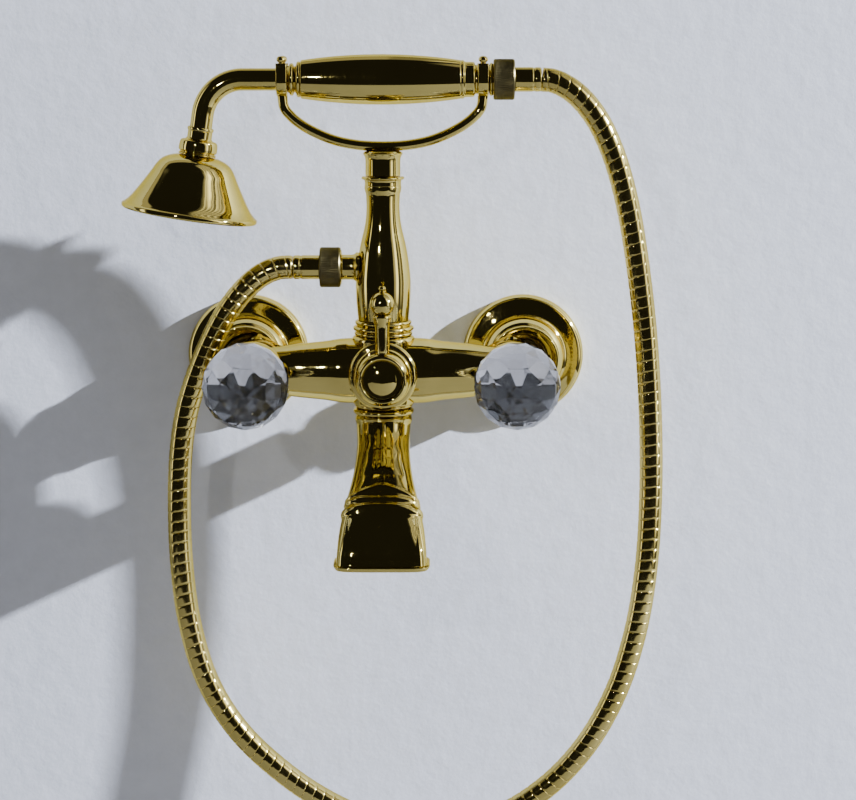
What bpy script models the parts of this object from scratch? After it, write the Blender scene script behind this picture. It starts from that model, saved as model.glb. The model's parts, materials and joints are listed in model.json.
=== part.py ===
"""Wall mounted bath and shower mixer with a hand shower in a raised cradle.

Frame: the origin is on the wall plane, midway between the two wall inlets.
+X is to the right of a person facing the wall, +Y goes into the wall and +Z is up.
Dimensions are in millimetres here, and MM turns them into metres in the meshes.
"""

import math

import bmesh
import bpy
from mathutils import Matrix, Vector

MM = 0.001

# Driving dimensions
VALVE_X = 75.0            # half of the 150 mm between the two valve axes
INLET_X = 83.5            # half of the distance between the two wall inlets
BODY_Y = -68.0            # the body's axis, in front of the wall
HANDSET_Z = 166.8         # axis of the hand shower in its cradle
FORK_X = 57.0             # half of the distance between the two cradle forks
OUTLET_Z = 60.0           # axis of the hose outlet on the column
KNOB_RADIUS = 24.3        # crystal knob
KNOB_CENTRE = 127.0       # its centre, in front of the wall
LEVER_Y = -102.0          # axis of the diverter lever's stem
HEAD_TILT = 8.7           # degrees that the shower head leans outwards
TUBE_RADIUS = 6.3         # bent tube of the hand shower
ELBOW_X = -79.6           # where the tube starts to bend
ELBOW_RADIUS = 23.0       # radius of the bend at the tube's centre line
HOSE_RADIUS = 6.8
GAP = 0.3                 # between pieces that touch

# Shared fitting sizes
NUT_LENGTH = 11.9
NUT_RADIUS = 11.5
NUT_BORE = 10.15
THREAD_RADIUS = 9.9
OUTLET_MOUTH = 24.5       # open end of the lower hose nut, from the column's axis
HANDSET_MOUTH = 62.9      # open end of the upper hose nut, from the middle
FERRULE_END = 27.2        # far end of a ferrule, from the open end of its nut

# Each turned piece is drawn with its axis along local +Z, then turned this way.
UP = Matrix.Identity(4)
FORWARD = Matrix.Rotation(math.radians(90), 4, "X")
RIGHT = Matrix.Rotation(math.radians(90), 4, "Y")
LEFT = Matrix.Rotation(math.radians(-90), 4, "Y")
HEAD = Matrix.Rotation(math.radians(HEAD_TILT), 4, "Y")

GOLD = ("polished_gold", (0.83, 0.62, 0.24), 0.08, 1.0)
SATIN_GOLD = ("satin_gold", (0.42, 0.36, 0.16), 0.35, 1.0)
BRASS = ("plain_brass", (0.72, 0.55, 0.28), 0.30, 1.0)
STEEL = ("stainless_steel", (0.62, 0.62, 0.60), 0.25, 1.0)
CERAMIC = ("white_ceramic", (0.90, 0.90, 0.88), 0.25, 0.0)
RUBBER = ("black_rubber", (0.03, 0.03, 0.03), 0.70, 0.0)
FIBRE = ("fibre_washer", (0.35, 0.10, 0.06), 0.80, 0.0)
PLASTIC = ("white_plastic", (0.85, 0.85, 0.82), 0.40, 0.0)
CRYSTAL = ("cut_crystal", (0.94, 0.95, 0.98), 0.02, 0.0)


# ---------------------------------------------------------------- tools

def new_collection(name):
    collection = bpy.data.collections.new(name)
    bpy.context.scene.collection.children.link(collection)
    return collection


def finish_material(finish):
    """One material for each finish, made the first time it is asked for."""
    name, colour, roughness, metallic = finish
    found = bpy.data.materials.get(name)
    if found:
        return found
    material = bpy.data.materials.new(name)
    material.use_nodes = True
    shader = material.node_tree.nodes["Principled BSDF"]
    shader.inputs["Base Color"].default_value = (*colour, 1.0)
    shader.inputs["Roughness"].default_value = roughness
    shader.inputs["Metallic"].default_value = metallic
    if finish is CRYSTAL:
        shader.inputs["Transmission Weight"].default_value = 1.0
        shader.inputs["IOR"].default_value = 1.52
    material.diffuse_color = (*colour, 1.0)
    return material


def place(piece, origin, turn=UP, parent=None):
    """Put a piece at a point in millimetres, under a joint's empty if it moves."""
    offset = Vector(origin) * MM
    if parent:
        piece.parent = parent
        offset = offset - parent.location
    piece.matrix_basis = Matrix.Translation(offset) @ turn


def add_object(name, data, finish):
    piece = bpy.data.objects.new(name, data)
    if finish:
        data.materials.append(finish_material(finish))
        PARTS.objects.link(piece)
    else:
        CUTTERS.objects.link(piece)
        piece.hide_render = True
        piece.display_type = "WIRE"
    return piece


def mesh_from(work, name, smooth_angle=40):
    """Turn a bmesh into a mesh that is smooth except at its sharp edges."""
    mesh = bpy.data.meshes.new(name)
    work.to_mesh(mesh)
    work.free()
    mesh.shade_smooth()
    mesh.set_sharp_from_angle(angle=math.radians(smooth_angle))
    return mesh


def arc(centre_r, centre_z, radius, start, end, count):
    """Points of a round stretch of a profile, with angles in degrees from +r."""
    points = []
    for step in range(count + 1):
        angle = math.radians(start + (end - start) * step / count)
        points.append((centre_r + radius * math.cos(angle), centre_z + radius * math.sin(angle)))
    return points


def turned(name, finish, outer, bore=None, origin=(0, 0, 0), turn=UP, steps=16, parent=None, spin=0):
    """A turned piece: outer runs down the outside, and bore back up the inside.

    Without a bore the profile starts and ends on the axis. spin turns the piece's facets
    by some degrees, so that they don't meet those of a piece it is joined to or cuts.
    """
    profile = list(outer) + list(bore or [])
    mesh = bpy.data.meshes.new(name)
    edges = [(i, i + 1) for i in range(len(profile) - 1)]
    if bore:
        edges.append((len(profile) - 1, 0))
    mesh.from_pydata([(r * MM, 0.0, z * MM) for r, z in profile], edges, [])
    piece = add_object(name, mesh, finish)
    screw = piece.modifiers.new("turn", "SCREW")
    screw.axis = "Z"
    screw.angle = math.radians(360)
    screw.steps = steps
    screw.render_steps = steps
    screw.use_merge_vertices = True
    screw.merge_threshold = 0.00001
    screw.use_smooth_shade = True
    place(piece, origin, turn @ Matrix.Rotation(math.radians(spin), 4, "Z"), parent)
    return piece


def rod(name, finish, radius, low, high, **where):
    """A plain solid cylinder between two heights on its axis."""
    return turned(name, finish, [(0, high), (radius, high), (radius, low), (0, low)], **where)


def ring(name, finish, radius, hole, low, high, **where):
    """A plain washer or disc with a hole."""
    return turned(name, finish, [(radius, high), (radius, low)], [(hole, low), (hole, high)], **where)


def hexagon(name, finish, across_flats, low, high, **where):
    """A six sided bar between two heights on its axis."""
    corner = across_flats / math.sqrt(3) * MM
    work = bmesh.new()
    middle = Matrix.Translation((0, 0, (low + high) / 2 * MM))
    bmesh.ops.create_cone(work, cap_ends=True, segments=6, radius1=corner, radius2=corner,
                          depth=(high - low) * MM, matrix=middle)
    piece = add_object(name, mesh_from(work, name), finish)
    place(piece, **where)
    return piece


def loft(name, finish, rings, parent=None):
    """A closed skin over rings of points that all have the same count."""
    work = bmesh.new()
    rows = [[work.verts.new(Vector(point) * MM) for point in points] for points in rings]
    count = len(rows[0])
    for upper, lower in zip(rows, rows[1:]):
        for i in range(count):
            j = (i + 1) % count
            work.faces.new((upper[i], upper[j], lower[j], lower[i]))
    work.faces.new(rows[0])
    work.faces.new(rows[-1])
    bmesh.ops.recalc_face_normals(work, faces=work.faces)
    piece = add_object(name, mesh_from(work, name), finish)
    place(piece, (0, 0, 0), UP, parent)
    return piece


def tube(name, finish, points, radius, sides=2, wall=None, parent=None):
    """A round bar along points in millimetres, or a hollow one with a wall."""
    curve = bpy.data.curves.new(name, "CURVE")
    curve.dimensions = "3D"
    curve.bevel_depth = radius * MM
    curve.bevel_resolution = sides
    curve.use_fill_caps = wall is None
    origin = parent.location if parent else Vector((0, 0, 0))
    spline = curve.splines.new("POLY")
    spline.points.add(len(points) - 1)
    for point, target in zip(points, spline.points):
        target.co = (*(Vector(point) * MM - origin), 1.0)
    piece = add_object(name, curve, finish)
    if parent:
        piece.parent = parent
    if wall:
        shell = piece.modifiers.new("wall", "SOLIDIFY")
        shell.thickness = wall * MM
        shell.offset = -1.0
    return piece


def combine(piece, tool, operation="DIFFERENCE"):
    """Cut piece by tool, or join tool to it."""
    step = piece.modifiers.new(tool.name, "BOOLEAN")
    step.operation = operation
    step.object = tool
    step.solver = "EXACT"


def joint_empty(name, origin):
    """An empty on a joint's axis, which its moving pieces are parented to."""
    empty = bpy.data.objects.new(name, None)
    empty.empty_display_size = 0.02
    empty.location = Vector(origin) * MM
    PARTS.objects.link(empty)
    return empty


def smooth_route(points, count):
    """Even points on a smooth curve through the route's own points."""
    route = [Vector(p) for p in points]
    padded = [route[0] * 2 - route[1], *route, route[-1] * 2 - route[-2]]
    dense = []
    for a, b, c, d in zip(padded, padded[1:], padded[2:], padded[3:]):
        for step in range(12):
            t = step / 12
            dense.append(0.5 * (2 * b + (c - a) * t + (2 * a - 5 * b + 4 * c - d) * t * t
                                + (3 * b - a - 3 * c + d) * t ** 3))
    dense.append(route[-1])
    travelled = [0.0]
    for a, b in zip(dense, dense[1:]):
        travelled.append(travelled[-1] + (b - a).length)
    even, index = [], 0
    for step in range(count):
        target = travelled[-1] * step / (count - 1)
        while index < len(dense) - 2 and travelled[index + 1] < target:
            index += 1
        span = travelled[index + 1] - travelled[index]
        even.append(dense[index].lerp(dense[index + 1], (target - travelled[index]) / span))
    return even


# ---------------------------------------------------------------- wall side

def circle(x, y, radius, count=16):
    """A circle in a plane parallel to the wall."""
    turns = [2 * math.pi * i / count for i in range(count)]
    return [(x + radius * math.cos(t), y, radius * math.sin(t)) for t in turns]


def wall_flange(tag, side):
    """Spun dome that covers the hole in the wall, open at its back and front."""
    outer = [(20.5, 28.0), (20.5, 23.5), (22.4, 20.2), (27.0, 17.4), (27.4, 15.6), (31.2, 12.4),
             (34.4, 6.2), (36.6, 4.4), (36.6, 0.0)]
    bore = [(34.8, 0.0), (33.4, 4.8), (29.8, 11.2), (26.0, 14.4), (25.8, 16.4), (21.0, 19.2),
            (19.4, 23.0), (19.4, 28.0)]
    turned(f"wall_flange_{tag}", GOLD, outer, bore, (side * INLET_X, 0, 0), FORWARD, steps=20)


def eccentric_union(tag, side):
    """Offset pipe from the wall inlet to the valve body, threaded into the wall."""
    wall_x = side * INLET_X
    body_x = side * VALVE_X
    outside = [(12.0, wall_x, 10.4), (-1.0, wall_x, 10.4), (-1.0, wall_x, 13.0), (-8.0, wall_x, 13.0),
               (-8.0, wall_x, 10.8), (-12.0, wall_x, 10.8), (-29.0, body_x, 10.8),
               (-35.0, body_x, 10.8), (-35.0, body_x, 13.0), (-38.0, body_x, 13.0)]
    inside = [(13.0, wall_x, 7.5), (-12.0, wall_x, 7.5), (-29.0, body_x, 7.5), (-39.0, body_x, 7.5)]
    pipe = loft(f"eccentric_union_{tag}", BRASS, [circle(x, y, r) for y, x, r in outside])
    combine(pipe, loft(f"cut_union_{tag}", None, [circle(x, y, r, 12) for y, x, r in inside]))


def union_nut(tag, side):
    """Hexagonal nut that draws the union's flange onto the valve body."""
    where = dict(origin=(side * VALVE_X, 0, 0), turn=FORWARD)
    nut = hexagon(f"union_nut_{tag}", GOLD, 30.0, 32.5, 47.0, **where)
    bore = [(0, 48.0), (13.4, 48.0), (13.4, 34.7), (11.1, 34.7), (11.1, 31.0), (0, 31.0)]
    combine(nut, turned(f"cut_nut_{tag}", None, bore, **where))
    ring(f"inlet_washer_{tag}", FIBRE, 12.8, 8.0, 38.3, 40.3, steps=16, **where)


# ---------------------------------------------------------------- valve body

def mixer_body():
    """One casting: cross tube, two valve housings and the middle boss, with its waterways."""
    axis = (0, BODY_Y, 0)
    half = [(19.0, 10.0), (18.6, 24.0), (17.1, 34.0), (15.5, 50.0), (13.9, 62.0), (12.8, 73.0)]
    outline = [(0, 73.0)] + half[::-1] + [(r, -x) for r, x in half] + [(0, -73.0)]
    body = turned("mixer_body", GOLD, outline, origin=axis, turn=RIGHT, steps=20)

    boss = [(0, 20.5), (16.6, 20.5), (17.9, 19.4), (18.2, 16.0), (18.2, -17.0), (17.2, -20.0),
            (15.8, -21.5), (0, -21.5)]
    combine(body, turned("join_middle_boss", None, boss, origin=axis, spin=4), "UNION")
    front = [(0, 88.0), (17.4, 88.0), (18.4, 87.0), (18.4, 84.6), (17.2, 83.0), (17.2, 69.0), (0, 69.0)]
    combine(body, turned("join_front_boss", None, front, turn=FORWARD, spin=7), "UNION")
    housing = [(0, 86.0), (15.4, 86.0), (16.5, 84.9), (16.5, 52.4), (14.4, 50.2), (13.1, 50.0),
               (13.1, 40.6), (0, 40.6)]
    for tag, side in SIDES:
        where = dict(origin=(side * VALVE_X, 0, 0), turn=FORWARD, spin=5)
        combine(body, turned(f"join_housing_{tag}", None, housing, **where), "UNION")

    combine(body, rod("cut_cross_way", None, 8.5, -76.0, 76.0, origin=axis, turn=RIGHT, steps=12, spin=9))
    combine(body, rod("cut_upright_way", None, 8.2, -30.0, 30.0, origin=axis, steps=14, spin=3))
    combine(body, rod("cut_diverter_bore", None, 10.0, 58.3, 95.0, turn=FORWARD, steps=16, spin=2))
    valve_bore = [(0, 95.0), (12.0, 95.0), (12.0, 62.0), (8.0, 62.0), (8.0, 35.0), (0, 35.0)]
    for tag, side in SIDES:
        where = dict(origin=(side * VALVE_X, 0, 0), turn=FORWARD, spin=8)
        combine(body, turned(f"cut_valve_bore_{tag}", None, valve_bore, **where))


def valve(tag, side, knob_joint):
    """Headwork behind one knob: fixed cartridge and disc, turning disc and spindle."""
    where = dict(origin=(side * VALVE_X, 0, 0), turn=FORWARD)
    outer = [(9.0, 95.0), (9.0, 89.6), (14.5, 89.6), (14.5, 86.3), (11.7, 86.3), (11.7, 64.3)]
    bore = [(9.0, 64.3), (9.0, 66.9), (3.4, 66.9), (3.4, 95.0)]
    turned(f"valve_cartridge_{tag}", BRASS, outer, bore, steps=14, **where)
    ring(f"ceramic_disc_fixed_{tag}", CERAMIC, 11.4, 3.6, 62.4, 64.0, steps=16, **where)

    cover = [(13.0, 98.0), (16.3, 96.2), (18.6, 93.0), (19.5, 89.5), (19.5, 86.3)]
    inside = [(15.0, 86.3), (15.0, 94.0), (9.6, 96.0), (9.6, 98.0)]
    turned(f"valve_bonnet_{tag}", GOLD, cover, inside, **where)

    moving = dict(parent=knob_joint, **where)
    rod(f"ceramic_disc_turning_{tag}", CERAMIC, 8.6, 64.3, 65.9, steps=16, **moving)
    rod(f"valve_spindle_{tag}", BRASS, 3.0, 66.2, 110.5, steps=12, **moving)


def knob(tag, side, knob_joint):
    """Faceted crystal ball, flat at its back, on a flared metal collar with a stud."""
    where = dict(origin=(side * VALVE_X, 0, 0), turn=FORWARD, parent=knob_joint)
    collar = [(0, 120.0), (4.8, 120.0), (4.8, 108.0), (14.8, 108.0), (14.8, 106.4), (12.5, 104.4),
              (9.0, 102.0), (8.6, 100.6), (9.8, 99.3), (9.8, 98.3), (3.3, 98.3), (3.3, 111.0), (0, 111.0)]
    turned(f"knob_collar_{tag}", GOLD, collar, **where)

    back = 108.3
    back_angle = -math.degrees(math.asin((KNOB_CENTRE - back) / KNOB_RADIUS))
    ball = arc(0, KNOB_CENTRE, KNOB_RADIUS, 90, back_angle, 8)
    ball[0] = (0, ball[0][1])
    socket = [(5.1, back), (5.1, 121.0), (0, 121.0)]
    turned(f"knob_crystal_{tag}", CRYSTAL, ball + socket, steps=14, **where)


# ---------------------------------------------------------------- diverter

def diverter(joint):
    """Plug that sends water to the spout or the hose, turned by an upright lever."""
    outer = [(14.5, 97.2), (16.2, 96.4), (16.6, 92.2), (19.2, 91.2), (19.6, 89.8), (19.0, 88.3)]
    turned("diverter_bonnet", GOLD, outer, [(10.2, 88.3), (10.2, 97.2)], turn=FORWARD)
    ring("diverter_cartridge", BRASS, 9.7, 3.4, 77.2, 95.0, turn=FORWARD, steps=16)

    moving = dict(turn=FORWARD, parent=joint)
    plug = [(0, 102.3), (3.0, 102.3), (3.0, 76.8), (9.6, 76.8), (9.6, 58.7), (0, 58.7)]
    spindle = turned("diverter_spindle", BRASS, plug, steps=16, **moving)
    combine(spindle, rod("cut_plug_port", None, 6.0, -15.0, 15.0, origin=(0, BODY_Y, 0), steps=12))

    hub = [(12.6, 106.6), (14.5, 105.2), (15.3, 102.6), (15.3, 99.6), (14.2, 97.6)]
    recess = [(3.3, 97.6), (3.3, 102.9), (11.5, 102.9), (11.5, 106.6)]
    cup = turned("diverter_hub", GOLD, hub, recess, **moving)
    combine(cup, rod("cut_lever_socket", None, 3.95, 12.4, 20.0, origin=(0, LEVER_Y, 0), steps=16))
    cap = [(0, 108.0), (4.5, 107.7), (8.5, 106.8), (11.1, 105.2), (11.1, 103.2), (0, 103.2)]
    turned("diverter_cap", GOLD, cap, **moving)

    upright = dict(origin=(0, LEVER_Y, 0), parent=joint, steps=12)
    stem = [(0, 36.6), (4.3, 36.6), (4.9, 35.6), (4.6, 34.2), (3.9, 31.5), (3.65, 28.0),
            (3.65, 12.7), (0, 12.7)]
    turned("diverter_lever", GOLD, stem, **upright)
    tip = [(0, 53.0), (1.5, 52.7), (2.1, 51.6), (1.4, 50.4)]
    ball = arc(0, 42.8, 6.9, 73, -58.8, 6)
    turned("diverter_finial", GOLD, tip + ball + [(0, ball[-1][1])], **upright)


# ---------------------------------------------------------------- spout

def spout_section(y, z, lean, half_width, half_depth, squareness, count=18):
    """A rounded outline across the spout, in a plane that leans forward by lean degrees."""
    forward = -math.cos(math.radians(lean))
    rise = math.sin(math.radians(lean))
    points = []
    for i in range(count):
        turn = 2 * math.pi * (i + 0.5) / count
        c, s = math.cos(turn), math.sin(turn)
        across = half_width * math.copysign(abs(c) ** (2 / squareness), c)
        depth = half_depth * math.copysign(abs(s) ** (2 / squareness), s)
        points.append((across, y + depth * forward, z + depth * rise))
    return points


def spout():
    """Short cast spout that runs forward and down, and flares to a wide mouth facing down."""
    wall = 2.4
    path = [(-68.0, -25.3, 0, 16.0, 16.0, 2.0), (-70.5, -33.0, 20, 15.6, 15.4, 2.0),
            (-77.0, -42.5, 42, 15.2, 14.4, 2.1), (-89.0, -52.5, 50, 16.0, 13.4, 2.3),
            (-102.0, -62.5, 50, 18.0, 12.8, 2.6), (-114.5, -72.5, 44, 21.2, 13.0, 3.2),
            (-124.5, -83.0, 28, 23.8, 13.2, 4.0), (-132.2, -91.5, 3, 24.9, 13.6, 4.6),
            (-132.6, -97.6, 0, 25.2, 13.9, 5.0), (-132.6, -98.2, 0, 26.8, 15.4, 5.0),
            (-132.6, -100.8, 0, 26.8, 15.4, 5.0)]
    shell = loft("spout", GOLD, [spout_section(*p) for p in path])
    hollow = [(y, z, lean, a - wall, b - wall, n) for y, z, lean, a, b, n in path[:-2]]
    hollow[0] = (-68.0, -24.0, 0, 9.0, 9.0, 2.0)
    hollow[1] = (-70.5, -33.0, 20, 9.0, 9.0, 2.0)
    hollow.append((-132.6, -103.0, 0, 22.8, 11.5, 5.0))
    combine(shell, loft("cut_spout_hollow", None, [spout_section(*p) for p in hollow]))

    insert = [(-132.6, -93.0, 0, 21.9, 10.5, 5.0), (-132.6, -96.0, 0, 21.9, 10.5, 5.0)]
    plate = loft("spout_mouth_plate", BRASS, [spout_section(*p) for p in insert])
    axis = (0, -132.6, 0)
    combine(plate, rod("cut_plate_hole", None, 9.6, -97.0, -92.0, origin=axis, steps=16))
    outer = [(9.2, -92.6), (9.2, -96.3), (10.4, -96.3), (10.4, -98.2)]
    turned("aerator", STEEL, outer, [(7.6, -98.2), (7.6, -92.6)], origin=axis)

    middle = (0, BODY_Y, 0)
    collar = [(16.2, -21.8), (17.3, -22.6), (17.5, -23.8), (16.6, -25.0)]
    turned("spout_collar", GOLD, collar, [(9.4, -25.0), (9.4, -21.8)], origin=middle)


# ---------------------------------------------------------------- column and cradle

def column():
    """Vase shaped riser: water rises inside it to the hose outlet."""
    middle = (0, BODY_Y, 0)
    foot = [(14.9, 29.4), (16.4, 28.4), (15.4, 27.0), (17.3, 25.8), (17.4, 24.4), (16.2, 23.2), (16.2, 20.8)]
    turned("column_base_ring", GOLD, foot, [(8.6, 20.8), (8.6, 29.4)], origin=middle)
    vase = [(10.2, 107.0), (9.9, 101.0), (9.6, 95.0), (10.0, 88.0), (11.0, 82.0), (12.6, 75.0),
            (14.0, 68.0), (15.0, 61.0), (15.8, 54.0), (15.9, 48.0), (15.5, 40.0), (14.8, 33.0), (14.5, 29.7)]
    bore = [(6.0, 29.7), (6.0, 68.0), (0, 68.0)]
    post = turned("column", GOLD, [(0, 107.0)] + vase + bore, origin=middle, steps=18)
    combine(post, rod("cut_stud_hole", None, 4.2, 95.0, 110.0, origin=middle, steps=12))
    outlet = (0, BODY_Y, OUTLET_Z)
    seat = [(0, 20.0), (7.5, 20.0), (7.5, 13.2), (6.6, 13.2), (6.6, 0.0), (0, 0.0)]
    combine(post, turned("cut_outlet_seat", None, seat, origin=outlet, turn=LEFT, steps=16))

    collar = [(11.0, 112.2), (12.0, 111.4), (12.2, 109.0), (11.2, 107.3)]
    turned("column_collar", GOLD, collar, [(4.2, 107.3), (4.2, 112.2)], origin=middle)
    post = [(0, 125.9), (11.3, 125.9), (10.6, 124.2), (10.0, 121.0), (10.0, 112.5), (3.8, 112.5),
            (3.8, 96.5), (0, 96.5)]
    turned("cradle_post", GOLD, post, origin=middle)


def cradle():
    """Bent arm on the post, with an open fork at each end for the hand shower."""
    half = [(0, 129.2), (14, 129.9), (27.5, 132.6), (38.5, 137.0), (46.5, 141.5), (52, 146.0),
            (55.8, 150.8), (57.0, 156.7)]
    route = [(-x, BODY_Y, z) for x, z in half[:0:-1]] + [(x, BODY_Y, z) for x, z in half]
    tube("cradle_arm", GOLD, smooth_route(route, 27), 2.9, sides=2)

    inner, outer, top = 6.7, 9.6, 9.4
    outline = [(-outer, top)] + arc(0, 0, outer, 180, 360, 12) + [(outer, top), (inner, top)]
    outline += arc(0, 0, inner, 360, 180, 12) + [(-inner, top)]
    for tag, side in SIDES:
        curve = bpy.data.curves.new(f"cradle_fork_{tag}", "CURVE")
        curve.dimensions = "2D"
        curve.fill_mode = "BOTH"
        curve.extrude = 2.6 * MM
        spline = curve.splines.new("POLY")
        spline.points.add(len(outline) - 1)
        for (across, up), target in zip(outline, spline.points):
            target.co = (across * MM, up * MM, 0, 1)
        spline.use_cyclic_u = True
        fork = add_object(f"cradle_fork_{tag}", curve, GOLD)
        stand = Matrix.Rotation(math.radians(90), 4, "Z") @ Matrix.Rotation(math.radians(90), 4, "X")
        place(fork, (side * FORK_X, BODY_Y, HANDSET_Z), stand)


# ---------------------------------------------------------------- hose

def hose_fitting(tag, origin, turn, mouth, parent=None):
    """Nut, washer and ferrule on one end of the hose, along the axis from the nut's mouth."""
    where = dict(origin=origin, turn=turn, parent=parent)
    end = mouth + NUT_LENGTH
    web = mouth + 8.9
    nut = [(10.9, end), (NUT_RADIUS, end - 0.6), (NUT_RADIUS, mouth + 0.6), (10.9, mouth)]
    turned(f"hose_nut_{tag}", SATIN_GOLD, nut,
           [(NUT_BORE, mouth), (NUT_BORE, web), (5.3, web), (5.3, end)], **where)
    ring(f"hose_washer_{tag}", RUBBER, 9.6, 5.6, mouth + 5.9, mouth + 7.2, steps=14, **where)
    far = mouth + FERRULE_END
    ferrule = [(6.6, far), (6.9, far - 0.6), (6.9, end + GAP), (5.0, end + GAP),
               (5.0, mouth + 8.6), (9.0, mouth + 8.6), (9.0, mouth + 7.5)]
    turned(f"hose_ferrule_{tag}", GOLD, ferrule, [(4.2, mouth + 7.5), (4.2, far)], steps=14, **where)


def hose_outlet():
    """Threaded nipple in the column's side, with a non-return valve inside it."""
    where = dict(origin=(0, BODY_Y, OUTLET_Z), turn=LEFT)
    end = OUTLET_MOUTH + 5.6
    nipple = [(9.2, end), (THREAD_RADIUS, end - 0.7), (THREAD_RADIUS, 25.0), (7.2, 25.0), (7.2, 13.5),
              (6.3, 13.5), (6.3, 7.0)]
    turned("hose_outlet", GOLD, nipple, [(4.6, 7.0), (4.6, end)], steps=14, **where)
    ring("check_valve", PLASTIC, 4.3, 2.2, 14.0, 24.0, steps=12, **where)
    hose_fitting("lower", where["origin"], LEFT, OUTLET_MOUTH)


HOSE_ROUTE = [
    (-52.0, -68.0, 60.0), (-58.5, -68.0, 59.8), (-66.0, -68.0, 57.6), (-73.5, -68.0, 53.0),
    (-81.0, -68.0, 46.0), (-88.0, -68.0, 37.3), (-94.0, -68.0, 27.6), (-99.5, -68.0, 17.0),
    (-104.6, -68.0, 5.6), (-109.6, -68.0, -7.5), (-114.2, -68.5, -23.0), (-118.0, -69.0, -46.0),
    (-119.6, -70.0, -78.0), (-118.8, -71.0, -114.0), (-114.5, -72.0, -150.0), (-104.8, -73.0, -184.0),
    (-88.0, -74.0, -213.0), (-64.0, -75.0, -237.5), (-35.0, -76.0, -258.0), (-3.0, -76.0, -272.0),
    (32.0, -76.0, -276.5), (66.0, -76.0, -268.5), (95.5, -75.5, -250.0), (119.0, -74.5, -224.5),
    (136.5, -73.5, -192.5), (147.5, -72.5, -157.0), (153.6, -71.5, -118.0), (155.8, -70.0, -75.0),
    (155.2, -69.0, -32.0), (151.8, -68.0, 18.0), (145.6, -68.0, 66.0), (139.0, -68.0, 100.0),
    (130.6, -68.0, 127.0), (120.4, -68.0, 146.8), (108.5, -68.0, 159.8), (97.5, -68.0, 165.8),
    (90.4, -68.0, 166.8),
]


def hose():
    """The flexible hose from the column's outlet to the end of the hand shower."""
    points = smooth_route(HOSE_ROUTE, 60)
    straight = Vector((2.0, 0, 0))
    points.insert(1, points[0] - straight)
    points.insert(-1, points[-1] + straight)
    tube("hose", GOLD, points, HOSE_RADIUS, sides=2)


# ---------------------------------------------------------------- hand shower

def head_centre():
    """Where the bent tube ends its bend and the shower head's own axis begins."""
    bend = math.radians(90 - HEAD_TILT)
    x = ELBOW_X - ELBOW_RADIUS * math.sin(bend)
    z = HANDSET_Z - ELBOW_RADIUS + ELBOW_RADIUS * math.cos(bend)
    return Vector((x, BODY_Y, z))


def handset_tube(joint):
    """Water tube through the grip, bent down to the head at its left end."""
    points = [(52.0, BODY_Y, HANDSET_Z), (0.0, BODY_Y, HANDSET_Z), (-50.0, BODY_Y, HANDSET_Z)]
    bends = 8
    for step in range(bends + 1):
        turn = math.radians((90 - HEAD_TILT) * step / bends)
        points.append((ELBOW_X - ELBOW_RADIUS * math.sin(turn), BODY_Y,
                       HANDSET_Z - ELBOW_RADIUS * (1 - math.cos(turn))))
    lean = math.radians(HEAD_TILT)
    end = head_centre() + Vector((-math.sin(lean), 0, -math.cos(lean))) * 15.5
    points.append(end)
    tube("handset_tube", GOLD, points, TUBE_RADIUS, sides=2, wall=1.4, parent=joint)


def grip(joint):
    """Barrel grip on the tube, with its bead rings, its end cap and the hose connector."""
    where = dict(origin=(0, BODY_Y, HANDSET_Z), turn=RIGHT, parent=joint)
    low, high, waist, belly = -46.0, 44.0, 10.9, 3.3
    barrel = []
    for step in range(9):
        u = 1 - step / 4
        barrel.append((waist + belly * (1 - u * u), (high + low) / 2 + u * (high - low) / 2))
    turned("handset_grip", GOLD, barrel, [(6.7, low), (6.7, high)], **where)
    beads = [(8.4, -46.3), (9.6, -47.2), (9.6, -48.2), (7.4, -49.6), (8.6, -51.0), (8.6, -52.2), (7.4, -53.8)]
    turned("grip_bead_ring", GOLD, beads, [(6.7, -53.8), (6.7, -46.3)], **where)
    cap = [(8.6, 52.0), (9.6, 51.0), (9.8, 47.0), (10.7, 45.6), (10.7, 44.3)]
    turned("grip_end_cap", GOLD, cap, [(6.7, 44.3), (6.7, 52.0)], **where)

    thread_end = HANDSET_MOUTH + 5.6
    connector = [(9.2, thread_end), (THREAD_RADIUS, thread_end - 0.7), (THREAD_RADIUS, 63.4),
                 (7.8, 63.4), (7.8, 60.6), (6.2, 60.0), (6.2, 54.1), (8.0, 53.8), (8.0, 52.3)]
    turned("handset_connector", GOLD, connector, [(4.6, 52.3), (4.6, thread_end)], steps=14, **where)
    hose_fitting("upper", where["origin"], RIGHT, HANDSET_MOUTH, joint)


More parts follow.
